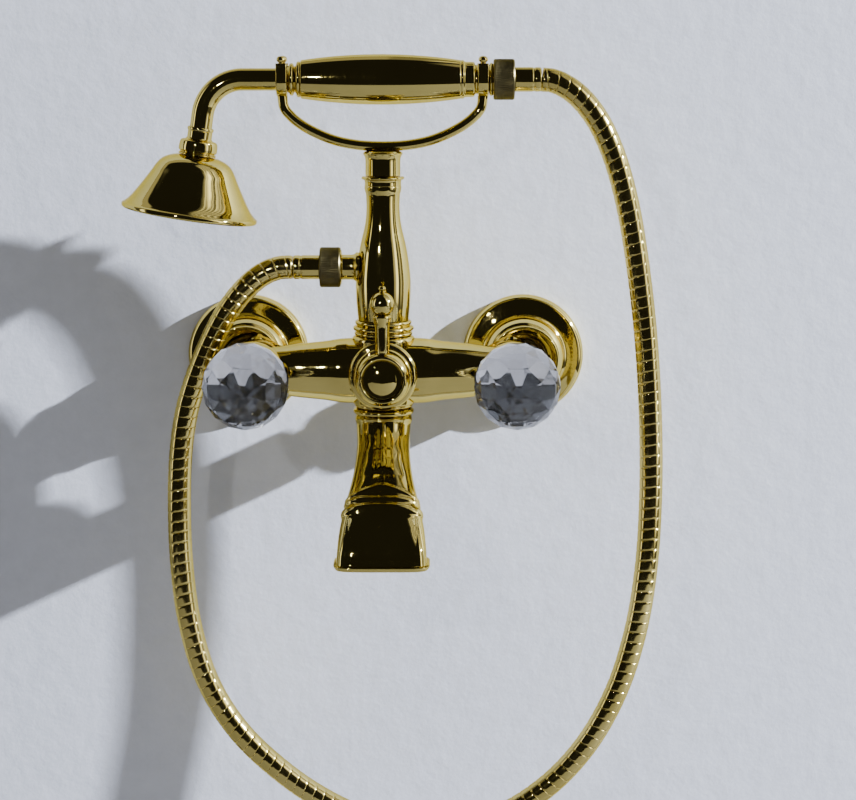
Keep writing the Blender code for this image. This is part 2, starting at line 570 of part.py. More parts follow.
def shower_head(joint):
    """Collar, bell and spray plate, all on the head's own leaning axis."""
    where = dict(origin=head_centre(), turn=HEAD, parent=joint)
    collar = [(7.3, -7.6), (8.6, -11.0), (10.3, -14.6), (11.5, -18.4), (11.8, -22.0), (11.0, -23.6)]
    turned("head_collar", GOLD, collar, [(5.0, -23.6), (5.0, -16.0), (6.8, -16.0), (6.8, -7.6)], **where)
    bell = [(11.0, -23.9), (13.2, -24.4), (17.2, -26.0), (20.6, -28.6), (22.8, -31.6), (24.8, -35.0),
            (28.2, -40.4), (32.4, -46.4), (36.2, -51.8), (38.2, -54.6), (38.8, -56.2), (38.8, -58.0)]
    inside = [(36.6, -58.0), (36.6, -55.0), (34.6, -51.8), (30.8, -46.6), (26.6, -41.0), (22.8, -35.0),
              (19.6, -30.4), (15.8, -27.8), (5.2, -26.6), (5.2, -23.9)]
    turned("head_bell", GOLD, bell, inside, steps=22, **where)
    plate = [(0, -55.4), (36.2, -55.4), (36.2, -57.4), (0, -57.4)]
    disc = turned("spray_plate", GOLD, plate, steps=22, **where)

    work = bmesh.new()
    for radius, count in ((0.0, 1), (12.0, 6), (26.0, 12)):
        for i in range(count):
            turn = 2 * math.pi * i / count
            spot = Vector((radius * math.cos(turn), radius * math.sin(turn), -56.4)) * MM
            bmesh.ops.create_cone(work, cap_ends=True, segments=4, radius1=1.2 * MM, radius2=1.2 * MM,
                                  depth=6 * MM, matrix=Matrix.Translation(spot))
    drill = add_object("cut_spray_holes", mesh_from(work, "cut_spray_holes"), None)
    place(drill, **where)
    combine(disc, drill)


# ---------------------------------------------------------------- assembly

SIDES = (("left", -1), ("right", 1))

for leftover in list(bpy.data.objects):
    bpy.data.objects.remove(leftover, do_unlink=True)
PARTS = new_collection("wall_bath_mixer")
CUTTERS = new_collection("wall_bath_mixer_cutters")

mixer_body()
for tag, side in SIDES:
    wall_flange(tag, side)
    eccentric_union(tag, side)
    union_nut(tag, side)
    knob_joint = joint_empty(f"knob_axis_{tag}", (side * VALVE_X, -KNOB_CENTRE, 0))
    valve(tag, side, knob_joint)
    knob(tag, side, knob_joint)
diverter(joint_empty("diverter_axis", (0, LEVER_Y, 0)))
spout()
column()
cradle()
hose_outlet()
hose()
lift = joint_empty("handset_rest", (0, BODY_Y, HANDSET_Z))
handset_tube(lift)
grip(lift)
shower_head(lift)
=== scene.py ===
"""Looks of the wall mounted bath mixer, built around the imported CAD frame.

Dimensions are in millimetres here, and MM turns them into metres in the meshes.
The origin is on the wall plane, +X to the right, +Y into the wall and +Z up.
"""

import json
import math

import bmesh
import bpy
from mathutils import Matrix, Vector


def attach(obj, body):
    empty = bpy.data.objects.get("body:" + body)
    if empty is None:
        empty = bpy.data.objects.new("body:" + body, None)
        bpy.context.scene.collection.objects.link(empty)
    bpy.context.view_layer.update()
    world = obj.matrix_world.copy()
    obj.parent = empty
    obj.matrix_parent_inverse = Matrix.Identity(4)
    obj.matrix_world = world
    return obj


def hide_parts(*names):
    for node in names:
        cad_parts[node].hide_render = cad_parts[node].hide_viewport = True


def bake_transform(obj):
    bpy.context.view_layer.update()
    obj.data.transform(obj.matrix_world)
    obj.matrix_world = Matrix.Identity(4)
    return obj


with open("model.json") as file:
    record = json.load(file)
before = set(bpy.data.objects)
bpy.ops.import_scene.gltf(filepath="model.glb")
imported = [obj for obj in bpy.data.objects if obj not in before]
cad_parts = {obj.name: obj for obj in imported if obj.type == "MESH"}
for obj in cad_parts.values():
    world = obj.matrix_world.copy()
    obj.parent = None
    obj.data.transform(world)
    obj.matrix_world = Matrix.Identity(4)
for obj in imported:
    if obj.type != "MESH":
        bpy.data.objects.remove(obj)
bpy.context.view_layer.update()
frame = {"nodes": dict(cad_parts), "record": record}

MM = 0.001

# Driving dimensions, as in the CAD
VALVE_X = 75.0
INLET_X = 83.5
BODY_Y = -68.0
HANDSET_Z = 166.8
FORK_X = 57.0
OUTLET_Z = 60.0
KNOB_RADIUS = 24.3
KNOB_CENTRE = 127.0
KNOB_BACK = 108.3
LEVER_Y = -102.0
HEAD_TILT = 8.7
TUBE_RADIUS = 6.3
ELBOW_X = -79.6
ELBOW_RADIUS = 23.0
HOSE_RADIUS = 6.8
NUT_LENGTH = 11.9
OUTLET_MOUTH = 24.5
HANDSET_MOUTH = 62.9
FERRULE_END = 27.2

UP = Matrix.Identity(4)
FORWARD = Matrix.Rotation(math.radians(90), 4, "X")
RIGHT = Matrix.Rotation(math.radians(90), 4, "Y")
LEFT = Matrix.Rotation(math.radians(-90), 4, "Y")
HEAD = Matrix.Rotation(math.radians(HEAD_TILT), 4, "Y")
SIDES = (("left", -1), ("right", 1))


# ------------------------ curves and profiles

def spline(points, fine=8):
    """Close points on a smooth curve through the given ones, in two or three dimensions."""
    route = [Vector(p) for p in points]
    padded = [route[0] * 2 - route[1], *route, route[-1] * 2 - route[-2]]
    dense = []
    for a, b, c, d in zip(padded, padded[1:], padded[2:], padded[3:]):
        t1 = math.sqrt((b - a).length)
        t2 = t1 + math.sqrt((c - b).length)
        t3 = t2 + math.sqrt((d - c).length)
        for step in range(fine):
            t = t1 + (t2 - t1) * step / fine
            ab = a.lerp(b, t / t1)
            bc = b.lerp(c, (t - t1) / (t2 - t1))
            cd = c.lerp(d, (t - t2) / (t3 - t2))
            abc = ab.lerp(bc, t / t2)
            bcd = bc.lerp(cd, (t - t1) / (t3 - t1))
            dense.append(abc.lerp(bcd, (t - t1) / (t2 - t1)))
    dense.append(route[-1])
    return dense


def even(points, count):
    """The same curve with evenly spaced points."""
    travelled = [0.0]
    for a, b in zip(points, points[1:]):
        travelled.append(travelled[-1] + (b - a).length)
    spaced, index = [], 0
    for step in range(count):
        target = travelled[-1] * step / (count - 1)
        while index < len(points) - 2 and travelled[index + 1] < target:
            index += 1
        span = travelled[index + 1] - travelled[index]
        spaced.append(points[index].lerp(points[index + 1], (target - travelled[index]) / span))
    return spaced


def circle(radius, count=40, phase=0.0):
    """Evenly spaced points on a circle. phase is in steps."""
    turns = [2 * math.pi * (i + phase) / count for i in range(count)]
    return [(radius * math.cos(t), radius * math.sin(t)) for t in turns]


def arc(centre_r, centre_z, radius, start, end, count=12):
    """Points of a round stretch, with angles in degrees from +r."""
    points = []
    for step in range(count + 1):
        angle = math.radians(start + (end - start) * step / count)
        points.append((centre_r + radius * math.cos(angle), centre_z + radius * math.sin(angle)))
    return points


SMOOTH_BEND = 16.0      # a corner that turns by fewer degrees stays as it is
CORNER_SHARE = 0.42     # the most of an edge that the rounding of one corner takes
LONG_EDGE = 3.2         # an edge this many roundings long gets a guard point
GUARD_REACH = 1.35      # how far a guard point stands from its corner, in roundings
CORNER_STEPS = 4


def soften(points, soft, closed=False):
    """Round the corners of a profile, with a close point on either side that keeps flats flat."""
    points = [Vector(p) for p in points]
    count = len(points)
    rounded = []
    for i, corner in enumerate(points):
        if not closed and i in (0, count - 1):
            rounded.append(corner)
            continue
        before = points[i - 1] - corner
        after = points[(i + 1) % count] - corner
        if before.length < 1e-6 or after.length < 1e-6:
            continue
        if math.degrees(before.angle(-after)) < SMOOTH_BEND:
            rounded.append(corner)
            continue
        reach = min(soft, CORNER_SHARE * before.length, CORNER_SHARE * after.length)
        start = corner + before.normalized() * reach
        end = corner + after.normalized() * reach
        if before.length > LONG_EDGE * reach:
            rounded.append(corner + before.normalized() * reach * GUARD_REACH)
        for step in range(CORNER_STEPS + 1):
            t = step / CORNER_STEPS
            rounded.append(start * (1 - t) ** 2 + corner * 2 * t * (1 - t) + end * t ** 2)
        if after.length > LONG_EDGE * reach:
            rounded.append(corner + after.normalized() * reach * GUARD_REACH)
    return rounded


def outline(*items):
    """A profile from corners and smooth curves. A corner is one point, and a curve is a list of them."""
    points = []
    for item in items:
        run = spline(item, 7) if isinstance(item, list) else [Vector(item)]
        if points and (points[-1] - run[0]).length < 1e-5:
            run = run[1:]
        points += run
    return points


# ------------------------ materials

class Nodes:
    """Short names for building a material's node tree."""

    def __init__(self, tree):
        self.tree = tree
        tree.nodes.clear()

    def add(self, kind, **settings):
        node = self.tree.nodes.new(kind)
        inputs = settings.pop("inputs", {})
        for key, value in settings.items():
            setattr(node, key, value)
        for key, value in inputs.items():
            if isinstance(value, bpy.types.NodeSocket):
                self.tree.links.new(value, node.inputs[key])
            else:
                node.inputs[key].default_value = value
        return node

    def maths(self, operation, a, b=0.0):
        return self.add("ShaderNodeMath", operation=operation, inputs={0: a, 1: b}).outputs[0]

    def ramp(self, value, *stops):
        """A colour ramp, with stops of (position, colour or grey)."""
        node = self.add("ShaderNodeValToRGB", inputs={"Fac": value})
        elements = node.color_ramp.elements
        while len(elements) < len(stops):
            elements.new(0.5)
        for element, (position, colour) in zip(elements, stops):
            element.position = position
            element.color = (*colour, 1) if isinstance(colour, tuple) else (colour, colour, colour, 1)
        return node.outputs["Color"]

    def noise(self, scale, detail=3.0, roughness=0.55, stretch=None):
        where = self.add("ShaderNodeTexCoord").outputs["Object"]
        if stretch:
            mapping = self.add("ShaderNodeMapping", inputs={"Vector": where, "Scale": stretch})
            where = mapping.outputs["Vector"]
        return self.add("ShaderNodeTexNoise", inputs={"Vector": where, "Scale": scale, "Detail": detail,
                                                      "Roughness": roughness}).outputs["Fac"]


def surface(name, build):
    """A material whose shader inputs come from build(nodes)."""
    material = bpy.data.materials.new(name)
    material.use_nodes = True
    nodes = Nodes(material.node_tree)
    shader = nodes.add("ShaderNodeBsdfPrincipled", inputs=build(nodes))
    nodes.add("ShaderNodeOutputMaterial", inputs={"Surface": shader.outputs[0]})
    return material


# Plating stays gold where it is seen at a flat angle
EDGE_TINT = (0.82, 0.70, 0.34, 1.0)


def plated(light, dark, smooth, dull, grain=0.0, wave=0.02, spots=True):
    """Polished plating: slow colour drift, faint wiping marks, water spots and orange peel."""
    def build(n):
        drift = n.noise(26.0, 2.0)
        colour = n.ramp(drift, (0.35, dark), (0.65, light))
        wiped = n.noise(420.0, 4.0, 0.6, (1.0, 1.0, 0.22))
        marks = n.ramp(wiped, (0.45, smooth), (0.75, dull))
        if spots:
            drops = n.add("ShaderNodeTexVoronoi", feature="DISTANCE_TO_EDGE",
                          inputs={"Vector": n.add("ShaderNodeTexCoord").outputs["Object"], "Scale": 190.0})
            rim = n.ramp(drops.outputs["Distance"], (0.0, 0.035), (0.05, 0.0))
            marks = n.maths("ADD", marks, rim)
        peel = n.noise(95.0, 1.0)
        bump = n.add("ShaderNodeBump", inputs={"Strength": wave, "Distance": 0.001, "Height": peel})
        normal = bump.outputs["Normal"]
        if grain:
            fine = n.noise(2600.0, 2.0)
            normal = n.add("ShaderNodeBump", inputs={"Strength": grain, "Distance": 0.0002, "Height": fine,
                                                     "Normal": normal}).outputs["Normal"]
        return {"Base Color": colour, "Metallic": 1.0, "Roughness": marks, "Normal": normal,
                "Specular Tint": EDGE_TINT}
    return build


def plain(light, dark, smooth, dull, scale, metallic=0.0, bump=0.1):
    """A plain surface with fine mottling in colour, roughness and height."""
    def build(n):
        mottle = n.noise(scale, 4.0)
        relief = n.add("ShaderNodeBump", inputs={"Strength": bump, "Distance": 0.0004, "Height": mottle})
        return {"Base Color": n.ramp(mottle, (0.3, dark), (0.7, light)), "Metallic": metallic,
                "Roughness": n.ramp(mottle, (0.3, smooth), (0.7, dull)), "Normal": relief.outputs["Normal"]}
    return build


def crystal(n):
    """Clear cut glass with a trace of polishing haze."""
    haze = n.noise(900.0, 3.0)
    return {"Base Color": (0.985, 0.985, 1.0, 1.0), "Transmission Weight": 1.0, "IOR": 1.53,
            "Roughness": n.ramp(haze, (0.5, 0.0), (0.9, 0.03))}


GOLD = surface("polished_gold", plated((0.64, 0.53, 0.165), (0.58, 0.475, 0.14), 0.035, 0.09))
HOSE_GOLD = surface("hose_gold", plated((0.62, 0.51, 0.17), (0.52, 0.42, 0.12), 0.10, 0.18, spots=False))
SATIN_GOLD = surface("satin_gold", plated((0.14, 0.118, 0.052), (0.11, 0.092, 0.04), 0.32, 0.44, grain=0.25))
BRASS = surface("plain_brass", plain((0.68, 0.54, 0.22), (0.60, 0.47, 0.18), 0.14, 0.26, 700.0, 1.0))
STEEL = surface("stainless_steel", plain((0.62, 0.62, 0.60), (0.52, 0.52, 0.51), 0.20, 0.34, 900.0, 1.0))
CERAMIC = surface("white_ceramic", plain((0.90, 0.90, 0.88), (0.84, 0.84, 0.82), 0.18, 0.30, 500.0))
RUBBER = surface("black_rubber", plain((0.035, 0.035, 0.035), (0.02, 0.02, 0.02), 0.60, 0.80, 800.0))
FIBRE = surface("fibre_washer", plain((0.38, 0.12, 0.07), (0.28, 0.08, 0.05), 0.70, 0.90, 1500.0))
PLASTIC = surface("white_plastic", plain((0.85, 0.85, 0.82), (0.80, 0.80, 0.77), 0.35, 0.50, 600.0))
CRYSTAL = surface("cut_crystal", crystal)
FOIL = surface("crystal_foil", plain((0.95, 0.97, 1.0), (0.92, 0.94, 0.98), 0.03, 0.07, 300.0, 1.0, 0.02))
# Painted shade: near-black for the shade inside the spray plate's holes
HOLE_SHADE = surface("nozzle_hole_shade", plain((0.02, 0.018, 0.015), (0.01, 0.01, 0.01), 0.5, 0.7, 900.0))

SLOT_MATERIALS = {"polished_gold": GOLD, "satin_gold": SATIN_GOLD, "plain_brass": BRASS,
                  "stainless_steel": STEEL, "white_ceramic": CERAMIC, "black_rubber": RUBBER,
                  "fibre_washer": FIBRE, "white_plastic": PLASTIC, "cut_crystal": CRYSTAL}


# ------------------------ meshes

# A finish is a material and the record's name for its slot
GOLD_FINISH = (GOLD, "polished_gold")
BRASS_FINISH = (BRASS, "plain_brass")


def finish_piece(work, name, finish, place=UP, body="root", nodes=(), flat=False, sharp=None):
    """Turn a bmesh in millimetres into a piece in metres that rides on a body.

    sharp is the angle in degrees from which an edge is drawn sharp.
    """
    material, slot = finish
    bmesh.ops.remove_doubles(work, verts=work.verts, dist=1e-5)
    bmesh.ops.recalc_face_normals(work, faces=work.faces)
    mesh = bpy.data.meshes.new(name)
    work.to_mesh(mesh)
    work.free()
    mesh.transform(place @ Matrix.Scale(MM, 4))
    if flat:
        mesh.shade_flat()
    else:
        mesh.shade_smooth()
    if sharp:
        mesh.set_sharp_from_angle(angle=math.radians(sharp))
    mesh.materials.append(material)
    piece = bpy.data.objects.new(name, mesh)
    bpy.context.scene.collection.objects.link(piece)
    if body:
        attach(piece, body)
    for node in nodes:
        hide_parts(node)
    return piece


def at(origin=(0, 0, 0), turn=UP):
    """Where a piece goes: its origin in millimetres, then its turn."""
    return Matrix.Translation(Vector(origin) * MM) @ turn


def bridge(work, rings, closed=True):
    """Faces from each ring of vertices to the next, and from the last to the first if closed.

    A ring may be a single vertex on the axis.
    """
    following = rings[1:] + rings[:1] if closed else rings[1:]
    for upper, lower in zip(rings, following):
        high, low = len(upper), len(lower)
        for i in range(max(high, low)):
            j = i + 1
            corners = dict.fromkeys((upper[i % high], lower[i % low], lower[j % low], upper[j % high]))
            if len(corners) > 2:
                work.faces.new(tuple(corners))


def lathe(name, profile, place=UP, body="root", nodes=(), finish=GOLD_FINISH, steps=96, soft=0.3,
          closed=False, knurl=None):
    """Turn a profile about local Z. knurl is (count, depth, low z, high z) of straight flutes."""
    profile = soften(profile, soft, closed)
    work = bmesh.new()
    rows = []
    for r, z in profile:
        if r < 1e-4:
            rows.append([work.verts.new((0, 0, z))])
            continue
        row = []
        for i in range(steps):
            reach = r
            if knurl and knurl[2] <= z <= knurl[3] and i % (steps // knurl[0]) in (0, 1):
                reach = r - knurl[1]
            angle = 2 * math.pi * i / steps
            row.append(work.verts.new((reach * math.cos(angle), reach * math.sin(angle), z)))
        rows.append(row)
    bridge(work, rows, closed)
    return finish_piece(work, name, finish, place, body, nodes)


def frames_along(points, up=Vector((0, 1, 0))):
    """Each point with two directions square to the route, without twist."""
    frames = []
    for i, point in enumerate(points):
        tangent = (points[min(i + 1, len(points) - 1)] - points[max(i - 1, 0)]).normalized()
        side = (up - tangent * up.dot(tangent)).normalized()
        up = side
        frames.append((point, side, tangent.cross(side)))
    return frames


def sweep(name, points, section, body="root", nodes=(), up=Vector((0, 1, 0))):
    """Carry a closed section of (side, other) offsets along points, in polished gold."""
    work = bmesh.new()
    rings = []
    for point, side, other in frames_along(points, up):
        rings.append([work.verts.new(point + side * a + other * b) for a, b in section])
    bridge(work, rings, closed=False)
    work.faces.new(rings[0])
    work.faces.new(rings[-1])
    return finish_piece(work, name, GOLD_FINISH, UP, body, nodes)


# ------------------------ camera

camera = bpy.data.objects.new("camera", bpy.data.cameras.new("camera"))
camera.data.sensor_width = 36.0
camera.data.lens = 90.42
camera.location = (0.02575, -1.300, 0.18704)
camera.rotation_euler = (math.radians(80.578), 0, 0)
bpy.context.scene.collection.objects.link(camera)
bpy.context.scene.camera = camera


# ------------------------ hose

HOSE_ROUTE = [
    (-52.0, -68.0, 60.0), (-58.5, -68.0, 59.8), (-66.0, -68.0, 57.6), (-73.5, -68.0, 53.0),
    (-81.0, -68.0, 46.0), (-88.0, -68.0, 37.3), (-94.0, -68.0, 27.6), (-99.5, -68.0, 17.0),
    (-104.6, -68.0, 5.6), (-109.6, -68.0, -7.5), (-114.2, -68.5, -23.0), (-118.0, -69.0, -46.0),
    (-119.6, -70.0, -78.0), (-118.8, -71.0, -114.0), (-114.5, -72.0, -150.0), (-104.8, -73.0, -184.0),
    (-88.0, -74.0, -213.0), (-64.0, -75.0, -237.5), (-35.0, -76.0, -258.0), (-3.0, -76.0, -272.0),
    (32.0, -76.0, -276.5), (66.0, -76.0, -268.5), (95.5, -75.5, -250.0), (119.0, -74.5, -224.5),
    (136.5, -73.5, -192.5), (147.5, -72.5, -157.0), (153.6, -71.5, -118.0), (155.8, -70.0, -75.0),
    (155.2, -69.0, -32.0), (151.8, -68.0, 18.0), (145.6, -68.0, 66.0), (139.0, -68.0, 100.0),
    (130.6, -68.0, 127.0), (120.4, -68.0, 146.8), (108.5, -68.0, 159.8), (97.5, -68.0, 165.8),
    (90.4, -68.0, 166.8),
]
HOSE_PITCH = 6.2
# One turn of the interlocked strip: (share of the pitch, depth below the crown in millimetres)
HOSE_RIB = [(0.0, 0.32), (0.02, 0.07), (0.05, 0.02), (0.20, 0.005), (0.45, 0.0), (0.72, 0.005), (0.90, 0.02),
            (0.94, 0.07), (0.96, 0.32), (0.98, 0.34)]
HOSE_SIDES = 32
HOSE_STATIONS = 700     # even steps along the route
HOSE_END_DEPTH = 0.5    # how far the strip's cut ends lie below the crown
NUT_FLUTES = 72
FLUTE_DEPTH = 0.22


def hose():
    """Helically wound metal hose: the mesh lines follow the strip's own turns."""
    path = even(spline(HOSE_ROUTE, 16), HOSE_STATIONS)
    frames = frames_along(path)
    length = sum((b - a).length for a, b in zip(path, path[1:]))
    per_turn = len(HOSE_RIB)
    turns = int(length / HOSE_PITCH) + 2
    work = bmesh.new()
    columns = []
    for j in range(HOSE_SIDES):
        column = []
        for row in range(-per_turn, turns * per_turn):
            share, depth = HOSE_RIB[row % per_turn]
            travel = (row // per_turn + share + j / HOSE_SIDES) * HOSE_PITCH
            inside = min(max(travel, 0.0), length)
            place = inside / length * (len(path) - 1)
            low = min(int(place), len(path) - 2)
            t = place - low
            point, side, other = (a.lerp(b, t) for a, b in zip(frames[low], frames[low + 1]))
            angle = 2 * math.pi * j / HOSE_SIDES
            if travel != inside:
                depth = HOSE_END_DEPTH
            out = side.normalized() * math.cos(angle) + other.normalized() * math.sin(angle)
            column.append(work.verts.new(point + out * (HOSE_RADIUS - depth)))
        columns.append(column)
    for j in range(HOSE_SIDES):
        here, there = columns[j], columns[(j + 1) % HOSE_SIDES]
        shift = per_turn if j == HOSE_SIDES - 1 else 0
        for row in range(len(here) - 1 - shift):
            work.faces.new((here[row], here[row + 1], there[row + 1 + shift], there[row + shift]))
    bmesh.ops.remove_doubles(work, verts=work.verts, dist=1e-4)
    bmesh.ops.dissolve_degenerate(work, edges=work.edges, dist=1e-5)
    ends = [e for e in work.edges if e.is_boundary]
    bmesh.ops.holes_fill(work, edges=ends, sides=0)
    piece = finish_piece(work, "hose_ribbed", (HOSE_GOLD, "polished_gold"), body=None, nodes=["hose"])
    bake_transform(piece)
    return piece, [p * MM for p in path[::4] + path[-1:]]


def hose_end(tag, place, mouth, body):
    """Knurled nut and plain ferrule on one end of the hose."""
    end = mouth + NUT_LENGTH
    nut = [(10.0, end), (11.0, end), (11.5, end - 0.7), (11.5, end - 1.1), (11.5, mouth + 1.1),
           (11.5, mouth + 0.7), (11.0, mouth), (10.15, mouth), (10.15, mouth + 8.9), (5.3, mouth + 8.9),
           (5.3, end)]
    ring = lathe(f"nut_{tag}", nut, place, body, [f"hose_nut_{tag}"], (SATIN_GOLD, "satin_gold"), steps=288,
                 soft=0.15, closed=True, knurl=(NUT_FLUTES, FLUTE_DEPTH, mouth + 0.9, end - 0.9))
    far = mouth + FERRULE_END
    sleeve = [(4.2, far), (6.3, far), (6.75, far - 0.5), (6.9, far - 1.2), (6.9, far - 3.4), (6.6, far - 3.9),
              (6.6, far - 4.6), (6.9, far - 5.1), (6.9, end + 0.3), (5.0, end + 0.3), (5.0, mouth + 8.6),
              (9.0, mouth + 8.6), (9.0, mouth + 7.5), (4.2, mouth + 7.5)]
    ferrule = lathe(f"ferrule_{tag}", sleeve, place, body, [f"hose_ferrule_{tag}"], soft=0.25, closed=True)
    return [ring, ferrule, frame["nodes"][f"hose_washer_{tag}"]]


outlet_place = at((0, BODY_Y, OUTLET_Z), LEFT)
handset_place = at((0, BODY_Y, HANDSET_Z), RIGHT)
hose_piece, hose_path = hose()
on_hose = hose_end("lower", outlet_place, OUTLET_MOUTH, "root")
on_hose += hose_end("upper", handset_place, HANDSET_MOUTH, "handset")


# ------------------------ wall side

UNION_RADIUS = 10.8
UNION_BORE = 7.5
UNION_BEND = (-12.0, -29.0)     # where the offset starts and ends, on Y
NUT_HALF_FLATS = 15.0
NUT_CORNER = 17.0               # the nut's points are turned down to this radius


def flange(tag, side):
    """Wall flange: a stepped neck, a shallow dish and a rolled rim, hollow behind."""
    outer = outline([(13.6, 25.2), (15.6, 26.1), (18.0, 26.5)],
                    [(18.0, 26.5), (18.6, 27.8), (20.0, 28.0), (20.5, 27.2)],
                    [(20.5, 24.4), (21.3, 23.6), (22.7, 21.8), (23.7, 19.4), (24.0, 16.4), (24.0, 13.2),
                     (24.4, 11.2)], [(24.4, 11.2), (25.6, 10.3), (27.8, 9.5), (30.5, 8.75), (33.2, 8.0)],
                    [(33.2, 8.0), (34.4, 7.45), (35.4, 6.6), (36.1, 5.5), (36.5, 4.3), (36.6, 3.2),
                     (36.6, 1.8)], (36.6, 0.0))
    inner = outline((34.8, 0.0), [(34.8, 1.6), (34.0, 4.0), (31.0, 6.0), (27.4, 7.6), (24.4, 9.2)],
                    [(24.4, 9.2), (22.5, 12.4), (22.2, 16.4), (21.6, 19.6), (19.4, 22.6)], (13.6, 24.0),
                    (13.6, 25.1))
    lathe(f"flange_{tag}", outer + inner, at((side * INLET_X, 0, 0), FORWARD), nodes=[f"wall_flange_{tag}"],
          steps=128, soft=0.35, closed=True)


def union(tag, side):
    """Offset pipe from the wall to the body, as rings of (y, x, radius)."""
    wall_x, valve_x = side * INLET_X, side * VALVE_X
    start, end = UNION_BEND
    rows = [(12.0, wall_x, 9.6), (11.3, wall_x, 10.4), (-1.0, wall_x, 10.4), (-1.2, wall_x, 13.0),
            (-7.8, wall_x, 13.0), (-8.0, wall_x, UNION_RADIUS), (start, wall_x, UNION_RADIUS)]
    for step in range(1, 12):
        t = step / 12
        blend = t * t * (3 - 2 * t)
        x = side * (INLET_X + (VALVE_X - INLET_X) * blend)
        rows.append((start + (end - start) * t, x, UNION_RADIUS))
    rows += [(end, valve_x, UNION_RADIUS), (-34.8, valve_x, UNION_RADIUS), (-35.0, valve_x, 13.0),
             (-38.0, valve_x, 13.0)]
    bore = [(y, x, UNION_BORE) for y, x, r in rows[::-1] if r == UNION_RADIUS]
    rows += [(-38.0, valve_x, UNION_BORE), *bore, (12.0, wall_x, UNION_BORE)]
    work = bmesh.new()
    bridge(work, [[work.verts.new((x + a, y, b)) for a, b in circle(r, 64)] for y, x, r in rows])
    finish_piece(work, f"union_{tag}", BRASS_FINISH, nodes=[f"eccentric_union_{tag}"], sharp=35)


def hex_nut(tag, side):
    """Hexagonal nut with turned chamfers, as rings of (z, chamfer, radius). A round ring has a radius."""
    rows = ((32.5, 15.6, None), (33.4, 17.3, None), (46.1, 17.3, None), (47.0, 15.6, None),
            (47.0, None, 13.4), (34.7, None, 13.4), (34.7, None, 11.1), (32.5, None, 11.1))
    count = 96
    work = bmesh.new()
    rings = []
    for z, chamfer, radius in rows:
        ring = []
        for i in range(count):
            angle = 2 * math.pi * i / count
            reach = radius
            if radius is None:
                off = (angle + math.pi / 6) % (math.pi / 3) - math.pi / 6
                reach = min(NUT_HALF_FLATS / math.cos(off), chamfer, NUT_CORNER)
            ring.append(work.verts.new((reach * math.cos(angle), reach * math.sin(angle), z)))
        rings.append(ring)
    bridge(work, rings)
    place = at((side * VALVE_X, 0, 0), FORWARD)
    finish_piece(work, f"hex_nut_{tag}", GOLD_FINISH, place, nodes=[f"union_nut_{tag}"], sharp=12)


# ------------------------ body

def body():
    """The casting, as the turned bodies that it is made of."""
    half = [(19.0, 10.0), (18.6, 24.0), (17.1, 34.0), (15.5, 50.0), (13.9, 62.0), (12.8, 73.0)]
    cross = outline((0, 73.0), half[::-1], [(r, -x) for r, x in half], (0, -73.0))
    lathe("body_cross", cross, at((0, BODY_Y, 0), RIGHT), nodes=["mixer_body"], steps=128)
    boss = outline((0, 20.5), [(16.6, 20.5), (17.9, 19.4), (18.3, 16.0)],
                   [(18.3, -16.4), (18.0, -18.6), (16.9, -19.2), (16.9, -20.0), (15.8, -21.5)], (0, -21.5))
    lathe("body_middle", boss, at((0, BODY_Y, 0)), steps=128)
    front = outline((0, 88.0), [(17.2, 88.0), (18.3, 87.2), (18.6, 85.9), (18.3, 84.5), (17.3, 83.4)],
                    (17.2, 69.0), (0, 69.0))
    lathe("body_front", front, at((0, 0, 0), FORWARD), steps=128)
    housing = outline((0, 86.0), [(15.2, 86.0), (16.2, 85.4), (16.5, 84.2)],
                      [(16.5, 53.4), (16.0, 51.2), (14.4, 50.2), (13.1, 49.6)], (13.1, 40.6), (0, 40.6))
    for tag, side in SIDES:
        lathe(f"body_housing_{tag}", housing, at((side * VALVE_X, 0, 0), FORWARD))


# Corners of the cut crystal: (degrees from the front, how many in the ring, how far turned in steps)
CRYSTAL_RINGS = [(8.0, 8, 0.5), (34.0, 8, 0.5), (58.0, 16, 0.5), (79.0, 16, 0.0), (98.0, 16, 0.5),
                 (115.0, 16, 0.0)]
FOIL_CENTRE = 113.6     # the silvery disc inside the crystal, on the knob's axis
FOIL_RADIUS = 18.2
FOIL_LEAN = 7.6
FOIL_THICKNESS = 0.5


def knob(tag, side):
    """Bonnet, flared collar and faceted ball of one valve."""
    place = at((side * VALVE_X, 0, 0), FORWARD)
    bonnet = outline((9.6, 98.0), [(13.0, 98.0), (16.0, 96.6), (18.2, 93.9), (19.3, 90.6), (19.5, 87.6)],
                     (19.5, 86.3), (15.0, 86.3), (15.0, 94.0), (9.6, 96.0))
    lathe(f"bonnet_{tag}", bonnet, place, "root", [f"valve_bonnet_{tag}"], closed=True)
    body_name = f"knob_{tag}"
    collar = outline((0, 108.0),
                     [(14.8, 108.0), (14.9, 106.6), (13.2, 104.9), (10.4, 103.2), (9.0, 101.9),
                      (8.7, 100.8)], [(8.7, 100.8), (9.7, 100.1), (10.0, 99.2), (9.8, 98.3)], (3.3, 98.3),
                     (3.3, 111.0), (0, 111.0))
    lathe(f"collar_{tag}", collar, place, body_name, [f"knob_collar_{tag}"])
    cut_crystal(tag, place, body_name)
    foil(tag, place, body_name)


